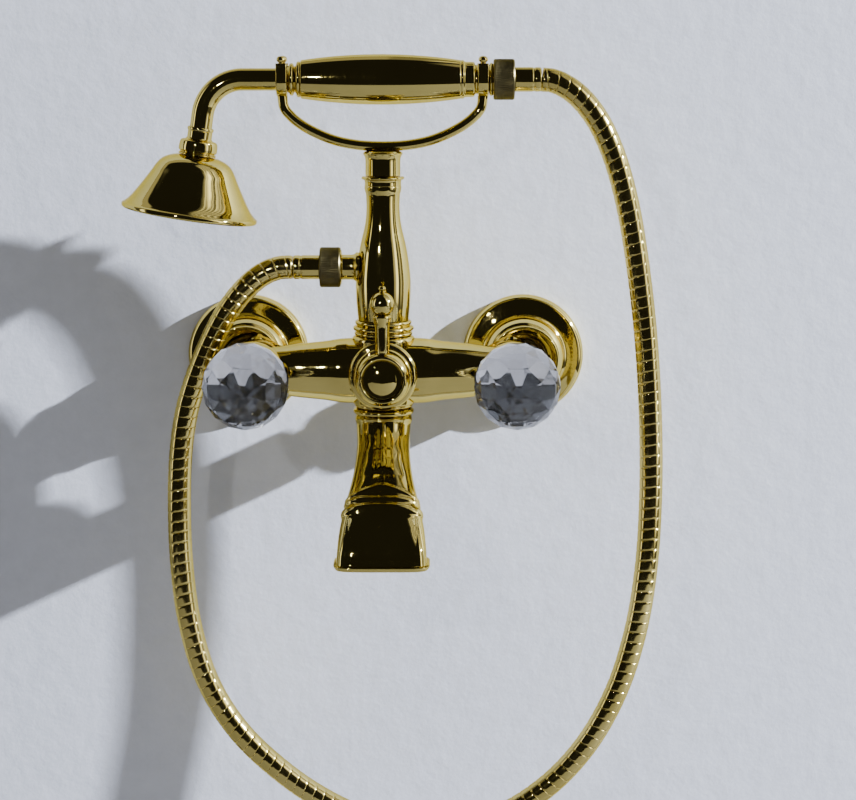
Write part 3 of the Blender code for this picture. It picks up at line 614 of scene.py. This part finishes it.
def cut_crystal(tag, place, body_name):
    """The hull of rings of corners on a ball, with a flat back."""
    work = bmesh.new()
    for polar, count, phase in CRYSTAL_RINGS:
        reach = KNOB_RADIUS * math.sin(math.radians(polar))
        height = KNOB_CENTRE + KNOB_RADIUS * math.cos(math.radians(polar))
        for a, b in circle(reach, count, phase):
            work.verts.new((a, b, height))
    back_reach = math.sqrt(KNOB_RADIUS ** 2 - (KNOB_CENTRE - KNOB_BACK) ** 2)
    for a, b in circle(back_reach, 16, 0.5):
        work.verts.new((a, b, KNOB_BACK))
    bmesh.ops.convex_hull(work, input=work.verts)
    bmesh.ops.dissolve_limit(work, angle_limit=math.radians(1), verts=work.verts, edges=work.edges)
    finish_piece(work, f"crystal_{tag}", (CRYSTAL, "cut_crystal"), place, body_name,
                 [f"knob_crystal_{tag}"], flat=True)


def foil(tag, place, body_name):
    """Leaning mirror disc that makes the crystal bright above and dark below."""
    work = bmesh.new()
    lean = Matrix.Translation((0, 0, FOIL_CENTRE)) @ Matrix.Rotation(math.radians(FOIL_LEAN), 4, "X")
    front = work.verts.new(lean @ Vector((0, 0, 0)))
    back = work.verts.new(lean @ Vector((0, 0, -FOIL_THICKNESS)))
    rim = [work.verts.new(lean @ Vector((a, b, 0))) for a, b in circle(FOIL_RADIUS, 32)]
    bridge(work, [[front], rim, [back]], closed=False)
    finish_piece(work, f"foil_{tag}", (FOIL, "cut_crystal"), place, body_name, flat=True)


def diverter():
    """Bonnet ring, cupped hub with its domed disc, and the upright lever."""
    front = at((0, 0, 0), FORWARD)
    bonnet = outline((10.2, 97.2), [(14.2, 97.2), (15.8, 96.8), (16.5, 95.6), (16.6, 94.0), (16.7, 92.6)],
                     [(16.7, 92.6), (18.4, 92.1), (19.4, 91.0), (19.6, 89.9), (19.3, 88.9), (18.6, 88.3)],
                     (10.2, 88.3), (10.2, 97.1))
    lathe("diverter_ring", bonnet, front, "root", ["diverter_bonnet"], steps=128, closed=True)
    hub = outline([(11.5, 106.4), (11.9, 107.2), (12.8, 107.4), (13.9, 106.5), (14.9, 104.6), (15.4, 102.0),
                   (15.3, 99.9), (14.6, 98.2), (14.2, 97.6)], (3.3, 97.6), (3.3, 102.9), (11.4, 102.9),
                  (11.4, 106.3))
    lathe("hub", hub, front, "diverter", ["diverter_hub"], steps=128, closed=True)
    cap = outline([(0, 107.2), (2.0, 107.09), (4.0, 106.76), (6.0, 106.2), (7.6, 105.55)],
                  [(7.6, 105.55), (8.3, 105.25), (9.2, 105.15)], (11.1, 105.1), (11.1, 103.2), (0, 103.2))
    lathe("hub_disc", cap, front, "diverter", ["diverter_cap"], steps=128)
    upright = at((0, LEVER_Y, 0))
    stem = outline((0, 36.6), [(4.4, 36.6), (5.2, 35.7), (5.1, 34.4)],
                   [(5.1, 34.4), (4.5, 32.4), (4.1, 29.8), (3.95, 26.5)],
                   [(3.95, 16.4), (3.8, 15.4), (3.8, 12.7)], (0, 12.7))
    lathe("lever", stem, upright, "diverter", ["diverter_lever"], steps=72)
    ball = arc(0, 42.8, 6.9, 74, -58.8, 24)
    finial = outline([(0, 53.0), (0.9, 52.9), (1.8, 52.3), (2.1, 51.5), (1.8, 50.6), (1.3, 50.1),
                      (1.9, 49.43)], ball, (0, ball[-1][1]))
    lathe("finial", finial, upright, "diverter", ["diverter_finial"], steps=72, soft=0.2)


# ------------------------ spout

# Sections from root to lip: (y, z, lean in degrees, half width, half depth, squareness)
SPOUT_PATH = [(-68.0, -25.3, 0, 16.0, 16.0, 2.0), (-70.5, -33.0, 20, 15.6, 15.4, 2.1),
              (-77.0, -42.5, 42, 15.2, 14.4, 2.4), (-89.0, -52.5, 50, 16.0, 13.4, 2.7),
              (-102.0, -62.5, 50, 18.0, 12.8, 3.0), (-114.5, -72.5, 44, 21.2, 13.0, 3.2),
              (-124.5, -83.0, 28, 23.8, 13.2, 4.0), (-132.2, -91.5, 3, 24.9, 13.6, 4.6),
              (-132.6, -97.4, 0, 25.2, 13.9, 5.0)]
SPOUT_SIDES = 160
SPOUT_WALL = 2.4
MOUTH_Y = -132.6
LIP_SQUARENESS = 5.0
AERATOR_RADIUS = 9.6
MESH_STEP = 1.15        # between the bars of the aerator's mesh
MESH_BAR = 0.32


def spout_rows(path, fine):
    """Smooth rows of the spout's outline, from its root to its lip."""
    keys = [Vector((y, z, a)) for y, z, lean, a, b, n in path]
    shape = [Vector((lean / 10, b, n)) for y, z, lean, a, b, n in path]
    steps = len(path) - 1
    where = spline(keys, fine)
    rows = []
    for i, key in enumerate(where):
        low = min(i // fine, steps - 1)
        t = (i - low * fine) / fine
        lean10, depth, squareness = shape[low].lerp(shape[low + 1], t)
        rows.append((key.x, key.y, lean10 * 10, key.z, depth, squareness))
    return rows


def spout_section(row, count):
    """Points of one section, which is round at squareness 2 and nears a box above it."""
    y, z, lean, half_width, half_depth, squareness = row
    forward = -math.cos(math.radians(lean))
    rise = math.sin(math.radians(lean))
    points = []
    for i in range(count):
        turn = 2 * math.pi * (i + 0.5) / count
        c, s = math.cos(turn), math.sin(turn)
        across = half_width * math.copysign(abs(c) ** (2 / squareness), c)
        depth = half_depth * math.copysign(abs(s) ** (2 / squareness), s)
        points.append(Vector((across, y + depth * forward, z + depth * rise)))
    return points


def bump_at(value, centre, width):
    """A smooth bead that is 1 at its centre and 0 beyond its width."""
    t = abs(value - centre) / width
    return (1 - t * t) ** 2 if t < 1 else 0.0


def bead_at(value, centre, width):
    """A half-round bead."""
    t = abs(value - centre) / width
    return math.sqrt(1 - t * t) if t < 1 else 0.0


def smooth_step(value, low, high):
    t = min(max((value - low) / (high - low), 0.0), 1.0)
    return t * t * (3 - 2 * t)


def moulding(v, u, front):
    """Height of the relief at share v of the spout's length and share u of its half width.

    front is 1 on the side that faces the bather. There are three beads over an arch, a keel above
    them, a swelling at the root and a sunken panel below.
    """
    arch = 0.678 + 0.010 * abs(u) ** 1.7
    gable = 0.556 + 0.055 * abs(u) ** 0.9
    beads = [(1.25, arch - 0.012, 0.019), (0.8, gable, 0.011), (0.7, arch - 0.048 - 0.012 * abs(u), 0.011)]
    lift = sum(height * bead_at(v, centre, width) for height, centre, width in beads) * front
    keel = bump_at(u, 0.0, 0.10) * smooth_step(v, 0.06, 0.2) * (1 - smooth_step(v, 0.60, 0.64))
    lift += 0.7 * keel * front
    lift += 0.7 * bump_at(v, 0.055, 0.05)
    panel = smooth_step(v, arch + 0.008, arch + 0.03) * (1 - smooth_step(abs(u), 0.80, 0.86)) * front
    return lift - 0.45 * panel


def spout_cast():
    """Flared spout with its mouldings outside and a plain hollow inside."""
    rows = spout_rows(SPOUT_PATH, 30)
    work = bmesh.new()
    rings = []
    for index, row in enumerate(rows):
        y, z, lean, half_width, depth, squareness = row
        centre = Vector((0, y, z))
        ring = []
        for i, point in enumerate(spout_section(row, SPOUT_SIDES)):
            turn = 2 * math.pi * (i + 0.5) / SPOUT_SIDES
            front = smooth_step(math.sin(turn), -0.1, 0.35)
            lift = moulding(index / (len(rows) - 1), point.x / half_width, front)
            ring.append(work.verts.new(point + (point - centre).normalized() * lift))
        rings.append(ring)
    lip = [(-97.8, 25.3, 14.0), (-97.95, 26.3, 14.9), (-98.2, 26.8, 15.4), (-98.6, 26.9, 15.5),
           (-100.3, 26.1, 14.7), (-100.7, 25.8, 14.4), (-100.8, 25.3, 13.9), (-100.8, 23.2, 11.9),
           (-100.4, 22.8, 11.5), (-96.0, 22.8, 11.5)]
    plain = [(MOUTH_Y, z, 0, half_width, depth, LIP_SQUARENESS) for z, half_width, depth in lip]
    hollow = [(y, z, lean, half_width - SPOUT_WALL, depth - SPOUT_WALL, squareness)
              for y, z, lean, half_width, depth, squareness in SPOUT_PATH[1:]]
    plain += reversed(spout_rows(hollow, 4)[:-2])
    plain.append((-68.0, -25.3, 0, 9.0, 9.0, 2.0))
    for row in plain:
        rings.append([work.verts.new(p) for p in spout_section(row, SPOUT_SIDES)])
    bridge(work, rings)
    finish_piece(work, "spout_cast", GOLD_FINISH, nodes=["spout"], sharp=50)


def spout_mouth():
    """Plate that closes the mouth, and the aerator in it."""
    count = 96
    work = bmesh.new()
    rings = []
    plate = [(-93.0, 21.6, 10.2), (-93.0, 21.9, 10.5), (-95.6, 21.9, 10.5), (-96.0, 21.5, 10.1)]
    for z, half_width, depth in plate:
        row = (MOUTH_Y, z, 0, half_width, depth, LIP_SQUARENESS)
        rings.append([work.verts.new(p) for p in spout_section(row, count)])
    for z in (-96.0, -93.0):
        rings.append([work.verts.new((a, MOUTH_Y - b, z)) for a, b in circle(AERATOR_RADIUS, count, 0.5)])
    bridge(work, rings)
    finish_piece(work, "mouth_plate", BRASS_FINISH, nodes=["spout_mouth_plate"], sharp=35)

    nozzle = at((0, MOUTH_Y, 0))
    steel = (STEEL, "stainless_steel")
    ring = [(7.6, -92.6), (9.2, -92.6), (9.2, -96.3), (10.4, -96.3), (10.4, -98.2), (7.6, -98.2)]
    lathe("aerator_ring", ring, nozzle, nodes=["aerator"], finish=steel, closed=True)
    work = bmesh.new()
    for i in range(-6, 7):
        reach = math.sqrt(max(7.5 ** 2 - (i * MESH_STEP) ** 2, 0.2))
        for turn, z in ((0.0, -94.6), (math.pi / 2, -95.0)):
            bar = Matrix.Rotation(turn, 4, "Z") @ Matrix.Translation((0, i * MESH_STEP, z))
            shape = bar @ Matrix.Diagonal((2 * reach, MESH_BAR, MESH_BAR, 1))
            bmesh.ops.create_cube(work, size=1.0, matrix=shape)
    finish_piece(work, "aerator_mesh", steel, nozzle, flat=True)


def spout_collar():
    """Ring between the body and the spout."""
    collar = outline((9.4, -21.8),
                     [(16.2, -21.8), (17.3, -22.5), (17.6, -23.4), (17.3, -24.4), (16.4, -25.0)],
                     (9.4, -25.0), (9.4, -21.9))
    lathe("spout_ring", collar, at((0, BODY_Y, 0)), "root", ["spout_collar"], closed=True)


# ------------------------ column and cradle

ARM_RADIUS = 2.9


def column():
    """Stacked rings, vase, collar and post of the riser, and the nipple for the hose."""
    middle = at((0, BODY_Y, 0))
    foot = outline((8.6, 29.4), (14.6, 29.4), arc(15.2, 28.3, 1.15, 80, -60, 6),
                   arc(15.5, 26.0, 0.4, 100, 80, 2), arc(16.2, 24.9, 1.35, 70, -70, 6), (16.4, 23.4),
                   (15.9, 23.2), arc(15.7, 21.9, 1.1, 70, -85, 6), (15.8, 20.8), (8.6, 20.8), (8.6, 29.3))
    lathe("column_rings", foot, middle, "root", ["column_base_ring"], closed=True, soft=0.2)
    vase = [(9.7, 101.0), (9.5, 95.0), (9.9, 88.0), (10.9, 82.0), (12.6, 75.0), (14.0, 68.0), (15.0, 61.0),
            (15.7, 54.0), (15.8, 48.0), (15.5, 40.0), (14.9, 33.0), (14.6, 29.7)]
    profile = outline((0, 107.2), [(9.9, 107.2), (10.5, 106.4), (10.3, 103.6), (9.8, 102.2)], vase,
                      (0, 29.7))
    lathe("column_vase", profile, middle, "root", ["column"], steps=128)
    collar = outline((4.2, 112.2),
                     [(10.4, 112.2), (11.9, 111.9), (12.3, 111.2), (11.9, 110.5), (10.7, 110.1)],
                     [(10.7, 110.1), (10.4, 109.0), (10.4, 106.8)], (4.2, 106.8), (4.2, 112.1))
    lathe("column_ring", collar, middle, "root", ["column_collar"], closed=True)
    post = outline([(0, 127.4), (6.0, 127.2), (10.2, 126.3)],
                   [(10.2, 126.3), (11.4, 125.2), (10.8, 124.0), (10.2, 122.6), (10.0, 121.0)],
                   (10.0, 112.5), (3.8, 112.5), (3.8, 96.5), (0, 96.5))
    lathe("post", post, middle, "root", ["cradle_post"])

    outlet = outline((4.6, 7.0), (6.3, 7.0), (6.3, 13.5),
                     [(8.4, 13.5), (8.6, 15.4), (7.6, 16.6), (7.2, 18.0)], (7.2, 23.4), (9.9, 24.0),
                     (9.9, 29.4), (9.2, 30.1), (4.6, 30.1), (4.6, 7.1))
    lathe("outlet", outlet, outlet_place, "root", ["hose_outlet"], closed=True)


def cradle():
    """Bent arm and the two open forks with small ball tips."""
    half = [(0, 129.2), (14, 129.9), (27.5, 132.6), (38.5, 137.0), (46.5, 141.5), (52, 146.0),
            (55.8, 150.8), (57.0, 158.2)]
    route = [(-x, BODY_Y, z) for x, z in half[:0:-1]] + [(x, BODY_Y, z) for x, z in half]
    sweep("arm", even(spline(route, 12), 160), circle(ARM_RADIUS), nodes=["cradle_arm"])

    inner, outer, half_width, top = 6.7, 9.6, 3.1, 9.0
    middle, thick = (inner + outer) / 2, (outer - inner) / 2
    corner = 0.75
    section = []
    for sx, sy, start in ((1, 1, 0), (-1, 1, 90), (-1, -1, 180), (1, -1, 270)):
        centre = (sx * (half_width - corner), sy * (thick - corner))
        section += arc(centre[0], centre[1], corner, start, start + 90, 5)
    for tag, side in SIDES:
        x = side * FORK_X
        path = [Vector((x, BODY_Y - middle, HANDSET_Z + top - 2.2 * i)) for i in range(4)]
        path += [Vector((x, BODY_Y + a, HANDSET_Z + b)) for a, b in arc(0, 0, middle, 180, 360, 40)]
        path += [Vector((x, BODY_Y + middle, HANDSET_Z + top - 2.2 * i)) for i in range(3, -1, -1)]
        sweep(f"fork_{tag}", path, section, nodes=[f"cradle_fork_{tag}"], up=Vector((1, 0, 0)))
        for end, sign in (("front", -1), ("back", 1)):
            tip = outline([(0, 13.2), (1.3, 12.95), (2.2, 12.2), (2.5, 11.2), (2.2, 10.2), (1.5, 9.6)],
                          (1.5, 8.8), (0, 8.8))
            lathe(f"fork_tip_{tag}_{end}", tip, at((x, BODY_Y + sign * middle, HANDSET_Z)), steps=40)


# ------------------------ hand shower

GRIP_END_RADIUS = 10.9
GRIP_BULGE = 3.3        # how much wider the barrel is in its middle
GRIP_MIDDLE = -1.0
GRIP_HALF = 45.0
NOZZLE_RINGS = 6
NOZZLE_STEP = 6.0
NOZZLE_RADIUS = 0.75


def head_centre():
    """End of the tube's bend, where the head's own frame starts."""
    bend = math.radians(90 - HEAD_TILT)
    x = ELBOW_X - ELBOW_RADIUS * math.sin(bend)
    z = HANDSET_Z - ELBOW_RADIUS + ELBOW_RADIUS * math.cos(bend)
    return Vector((x, BODY_Y, z))


def tube():
    """Water tube through the grip, bent down to the head."""
    points = [Vector((52.0 - 3 * i, BODY_Y, HANDSET_Z)) for i in range(44)]
    for step in range(41):
        turn = math.radians((90 - HEAD_TILT) * step / 40)
        points.append(Vector((ELBOW_X - ELBOW_RADIUS * math.sin(turn), BODY_Y,
                              HANDSET_Z - ELBOW_RADIUS * (1 - math.cos(turn)))))
    lean = math.radians(HEAD_TILT)
    down = Vector((-math.sin(lean), 0, -math.cos(lean)))
    points += [head_centre() + down * (1.55 * i) for i in range(1, 11)]
    sweep("tube", points, circle(TUBE_RADIUS, 48), "handset", ["handset_tube"])


def grip():
    """Barrel grip with its bead rings and cap, and the connector for the hose."""
    place = handset_place
    barrel = []
    for step in range(25):
        u = 1 - step / 12
        barrel.append((GRIP_END_RADIUS + GRIP_BULGE * (1 - u * u), GRIP_MIDDLE + u * GRIP_HALF))
    profile = [(6.7, 44.6), (10.5, 44.6), *barrel, (10.5, -46.4), (6.7, -46.4)]
    lathe("barrel", profile, place, "handset", ["handset_grip"], steps=128, closed=True, soft=0.35)
    beads = outline((6.7, -46.3), (8.6, -46.3), arc(8.9, -47.6, 1.25, 80, -80, 8), (8.9, -48.9),
                    [(7.6, -49.3), (7.4, -49.8), (7.6, -50.2)], arc(7.9, -51.6, 1.3, 80, -80, 8),
                    (7.9, -52.9), (7.3, -53.8), (6.7, -53.8), (6.7, -46.4))
    lathe("beads", beads, place, "handset", ["grip_bead_ring"], closed=True, soft=0.2)
    cap = outline((6.7, 52.5), [(8.6, 52.5), (9.7, 51.8), (9.9, 50.6)],
                  [(9.9, 47.6), (10.1, 46.6), (10.7, 46.0), (10.9, 45.2), (10.7, 44.4)], (6.7, 44.3),
                  (6.7, 51.9))
    lathe("end_cap", cap, place, "handset", ["grip_end_cap"], closed=True, soft=0.2)
    tail = outline((4.6, 52.3), [(8.0, 52.3), (8.3, 53.0), (8.0, 53.9)], (6.3, 54.2),
                   [(6.2, 60.2), (8.6, 60.6), (9.4, 61.5), (8.8, 62.6)], (9.9, 63.4), (9.9, 67.8),
                   (9.2, 68.5), (4.6, 68.5), (4.6, 52.4))
    lathe("connector", tail, place, "handset", ["handset_connector"], closed=True, soft=0.2)


def shower_head():
    """Collar, bell and spray plate with its nozzles, whose holes are painted shade, in the head's own leaning
    frame.
    """
    head = at(head_centre(), HEAD)
    collar = outline((6.8, -7.6), [(7.1, -7.6), (7.5, -8.2), (7.4, -9.2), (7.0, -9.8)],
                     [(7.0, -13.6), (7.7, -14.5), (9.4, -15.0), (10.4, -15.7), (10.8, -17.0)],
                     [(10.8, -17.0), (11.0, -19.0), (11.0, -20.8)],
                     [(11.0, -20.8), (10.6, -21.5), (9.9, -21.8), (10.0, -22.2), (10.7, -22.7),
                      (10.7, -23.2), (10.2, -23.6)], (5.0, -23.6), (5.0, -16.0), (6.8, -16.0), (6.8, -7.7))
    lathe("head_ring", collar, head, "handset", ["head_collar"], closed=True)
    bell = outline((5.2, -23.9),
                   [(11.0, -23.9), (13.2, -24.4), (17.2, -26.0), (20.4, -28.4), (22.6, -31.5),
                    (24.6, -35.2), (27.6, -40.4), (31.2, -46.4), (34.9, -51.9), (37.5, -54.6)],
                   [(37.5, -54.6), (38.7, -55.4), (39.0, -56.4), (38.8, -57.5), (38.2, -58.0)],
                   (36.8, -58.0), (36.6, -55.0),
                   [(36.6, -55.4), (33.6, -52.2), (29.8, -46.6), (26.6, -41.0), (22.8, -35.0),
                    (19.6, -30.4), (15.8, -27.8), (5.2, -26.6)], (5.2, -24.0))
    lathe("bell", bell, head, "handset", ["head_bell"], steps=160, closed=True, soft=0.35)
    plate = outline((0, -55.2), (36.2, -55.2), [(36.2, -56.9), (24.0, -57.5), (12.0, -57.8), (0, -57.9)])
    lathe("rose_plate", plate, head, "handset", ["spray_plate"], steps=160)
    work = bmesh.new()
    for ring in range(NOZZLE_RINGS):
        radius = NOZZLE_STEP * ring
        for a, b in circle(radius, max(6 * ring, 1), 0.5 * (ring % 2)):
            spot = Matrix.Translation((a, b, -57.7 + radius * 0.014))
            bmesh.ops.create_uvsphere(work, u_segments=14, v_segments=8, radius=NOZZLE_RADIUS, matrix=spot)
    # The nozzles are dark spheres, painted shade that stands for the holes in the gold plate
    finish_piece(work, "rose_nozzles", (HOLE_SHADE, "polished_gold"), head, "handset")


# ------------------------ stage

FLOOR_Z = -0.42
FLOOR_FRONT = -1.33
FLOOR_BACK = 0.6
WALL_Y = 0.0004         # just behind the flanges' rims
WALL_TOP = 0.26


def stage_object(name, corners, material):
    """A rectangle in metres that belongs to the stage and not to the faucet."""
    mesh = bpy.data.meshes.new(name)
    mesh.from_pydata(corners, [], [(0, 1, 2, 3)])
    mesh.materials.append(material)
    thing = bpy.data.objects.new(name, mesh)
    bpy.context.scene.collection.objects.link(thing)


def one_sided(name, light, dark, scale, bump):
    """A backdrop that is painted in front and clear from behind, so it hides nothing."""
    material = bpy.data.materials.new(name)
    material.use_nodes = True
    n = Nodes(material.node_tree)
    lumps = n.noise(scale, 6.0, 0.62)
    relief = n.add("ShaderNodeBump", inputs={"Strength": bump, "Distance": 0.002, "Height": lumps})
    colour = n.ramp(lumps, (0.3, dark), (0.7, light))
    paint = n.add("ShaderNodeBsdfPrincipled", inputs={"Base Color": colour, "Roughness": 0.75,
                                                      "Normal": relief.outputs["Normal"]})
    clear = n.add("ShaderNodeBsdfTransparent")
    behind = n.add("ShaderNodeNewGeometry").outputs["Backfacing"]
    mixed = n.add("ShaderNodeMixShader", inputs={0: behind, 1: paint.outputs[0], 2: clear.outputs[0]})
    n.add("ShaderNodeOutputMaterial", inputs={"Surface": mixed.outputs[0]})
    return material


def stage():
    """A plain floor, pale under the strong key light, and a pale plaster wall."""
    floor = one_sided("floor", (0.150, 0.145, 0.142), (0.130, 0.126, 0.123), 30.0, 0.1)
    stage_object("floor", [(-1, FLOOR_FRONT, FLOOR_Z), (1, FLOOR_FRONT, FLOOR_Z),
                           (1, FLOOR_BACK, FLOOR_Z), (-1, FLOOR_BACK, FLOOR_Z)], floor)
    plaster = one_sided("plaster", (0.69, 0.71, 0.76), (0.63, 0.65, 0.695), 75.0, 0.2)
    stage_object("wall", [(-1, WALL_Y, FLOOR_Z), (1, WALL_Y, FLOOR_Z),
                          (1, WALL_Y, WALL_TOP), (-1, WALL_Y, WALL_TOP)], plaster)


# The dark opening in front, which the polished metal shows as its dark core. These numbers compare
# with the parts of a direction of length 1.
OPENING_HALF_WIDTH = 0.81
OPENING_MIDDLE = -0.10
OPENING_MARGIN = 0.04
OPENING_ROUNDING = 0.95     # how much it narrows towards straight up and straight down
OPENING_LEAN = 0.27
OPENING_LIGHT = 0.018
SOFT_EDGE = 0.03
BEYOND = 9.0                # above any value that a direction gives


def world_light():
    """Room light: a dark opening in front, upright bright strips on both sides and a dim ceiling.

    The camera itself sees plain pale paper instead of it.
    """
    world = bpy.data.worlds.new("room")
    bpy.context.scene.world = world
    world.use_nodes = True
    n = Nodes(world.node_tree)
    where = n.add("ShaderNodeTexCoord").outputs["Generated"]
    split = n.add("ShaderNodeSeparateXYZ", inputs={0: where})
    x, y, z = split.outputs
    flat = n.maths("SQRT", n.maths("ADD", n.maths("MULTIPLY", x, x), n.maths("MULTIPLY", y, y)))
    flat = n.maths("MAXIMUM", flat, 0.001)
    ahead = n.maths("DIVIDE", n.maths("MULTIPLY", y, -1.0), flat)
    aside = n.maths("DIVIDE", x, flat)

    def band(value, low, high, edge=SOFT_EDGE):
        """1 where value is between low and high, with soft edges."""
        up = n.add("ShaderNodeMapRange", interpolation_type="SMOOTHSTEP",
                   inputs={0: value, 1: low - edge, 2: low + edge, 3: 0.0, 4: 1.0}).outputs[0]
        down = n.add("ShaderNodeMapRange", interpolation_type="SMOOTHSTEP",
                     inputs={0: value, 1: high - edge, 2: high + edge, 3: 1.0, 4: 0.0}).outputs[0]
        return n.maths("MULTIPLY", up, down)

    def over(value, edge=SOFT_EDGE):
        """1 where value is above 0, with a soft edge."""
        return band(value, 0.0, BEYOND, edge)

    squeeze = n.maths("MULTIPLY", n.maths("MULTIPLY", z, z), OPENING_ROUNDING)
    width = n.maths("MULTIPLY", n.maths("SQRT", n.maths("SUBTRACT", 1.0, squeeze)), OPENING_HALF_WIDTH)
    inside = n.maths("SUBTRACT", width, n.maths("ABSOLUTE", n.maths("SUBTRACT", x, OPENING_MIDDLE)))
    inside = n.maths("ADD", inside, OPENING_MARGIN)
    before = n.maths("SUBTRACT", n.maths("MULTIPLY", z, OPENING_LEAN), y)
    dark = n.maths("MULTIPLY", over(inside), over(before))
    low = band(z, -0.20, 0.72, 0.08)
    right = over(aside, 0.02)
    left = n.maths("SUBTRACT", 1.0, right)
    streaks = over(n.maths("SUBTRACT", n.maths("SINE", n.maths("MULTIPLY", ahead, 46.0)), 0.45), 0.15)
    parts = [
        (0.10, []),                                             # everywhere
        (0.42, [left, band(z, 0.50, 2.0, 0.16)]),               # ceiling on the left
        (0.22, [right, band(z, 0.60, 2.0, 0.16)]),              # ceiling on the right
        (3.0, [low, right, band(ahead, 0.37, 0.53)]),           # brightest strip
        (0.9, [low, right, band(ahead, 0.08, 0.18)]),           # thin strip near the wall
        (0.6, [low, right, band(ahead, 0.53, 0.80)]),           # faint strip beside the opening
        (2.4, [low, left, band(ahead, 0.10, 0.27)]),            # strip on the left
        (0.9, [right, band(z, 0.40, 0.97, 0.05), streaks]),     # fine streaks high on the right
        (0.30, [low, right, band(ahead, -2.0, 0.0, 0.05)]),     # behind the wall, on the right
    ]
    light = 0.0
    for strength, masks in parts:
        for mask in masks:
            strength = n.maths("MULTIPLY", mask, strength)
        light = n.maths("ADD", light, strength)
    room = n.maths("MULTIPLY", light, n.maths("SUBTRACT", 1.0, dark))
    room = n.maths("ADD", room, n.maths("MULTIPLY", dark, OPENING_LIGHT))
    seen = n.add("ShaderNodeLightPath").outputs["Is Camera Ray"]
    shade = n.add("ShaderNodeBackground", inputs={"Color": (1.0, 0.98, 0.96, 1), "Strength": room})
    paper = n.add("ShaderNodeBackground", inputs={"Color": (0.72, 0.73, 0.77, 1), "Strength": 0.9})
    mixed = n.add("ShaderNodeMixShader", inputs={0: seen, 1: shade.outputs[0], 2: paper.outputs[0]})
    n.add("ShaderNodeOutputWorld", inputs={"Surface": mixed.outputs[0]})


def lamp(name, place, target, size, power, colour=(1, 1, 1)):
    """Square lamp at a place in metres, turned to a target. power is in watts."""
    data = bpy.data.lights.new(name, "AREA")
    data.size = size
    data.energy = power
    data.color = colour
    thing = bpy.data.objects.new(name, data)
    thing.location = place
    thing.rotation_euler = (Vector(target) - Vector(place)).to_track_quat("-Z", "Y").to_euler()
    bpy.context.scene.collection.objects.link(thing)


for tag, side in SIDES:
    flange(tag, side)
    union(tag, side)
    hex_nut(tag, side)
    knob(tag, side)
body()
diverter()
spout_cast()
spout_mouth()
spout_collar()
column()
cradle()
tube()
grip()
shower_head()

for row in frame["record"]["subparts"]:
    node = frame["nodes"][row["node"]]
    node.data.materials.clear()
    node.data.materials.append(SLOT_MATERIALS[row["material_slot"]])

stage()
world_light()
# A small far lamp grazes the wall from the right, and a weak one gives the front its sparkle
lamp("key", (5.31, -1.30, 2.46), (0, 0, 0), 0.08, 2100.0, (0.91, 0.97, 1.13))
lamp("spark", (-0.40, -1.25, 0.45), (0, -0.06, 0.0), 0.05, 2.0)
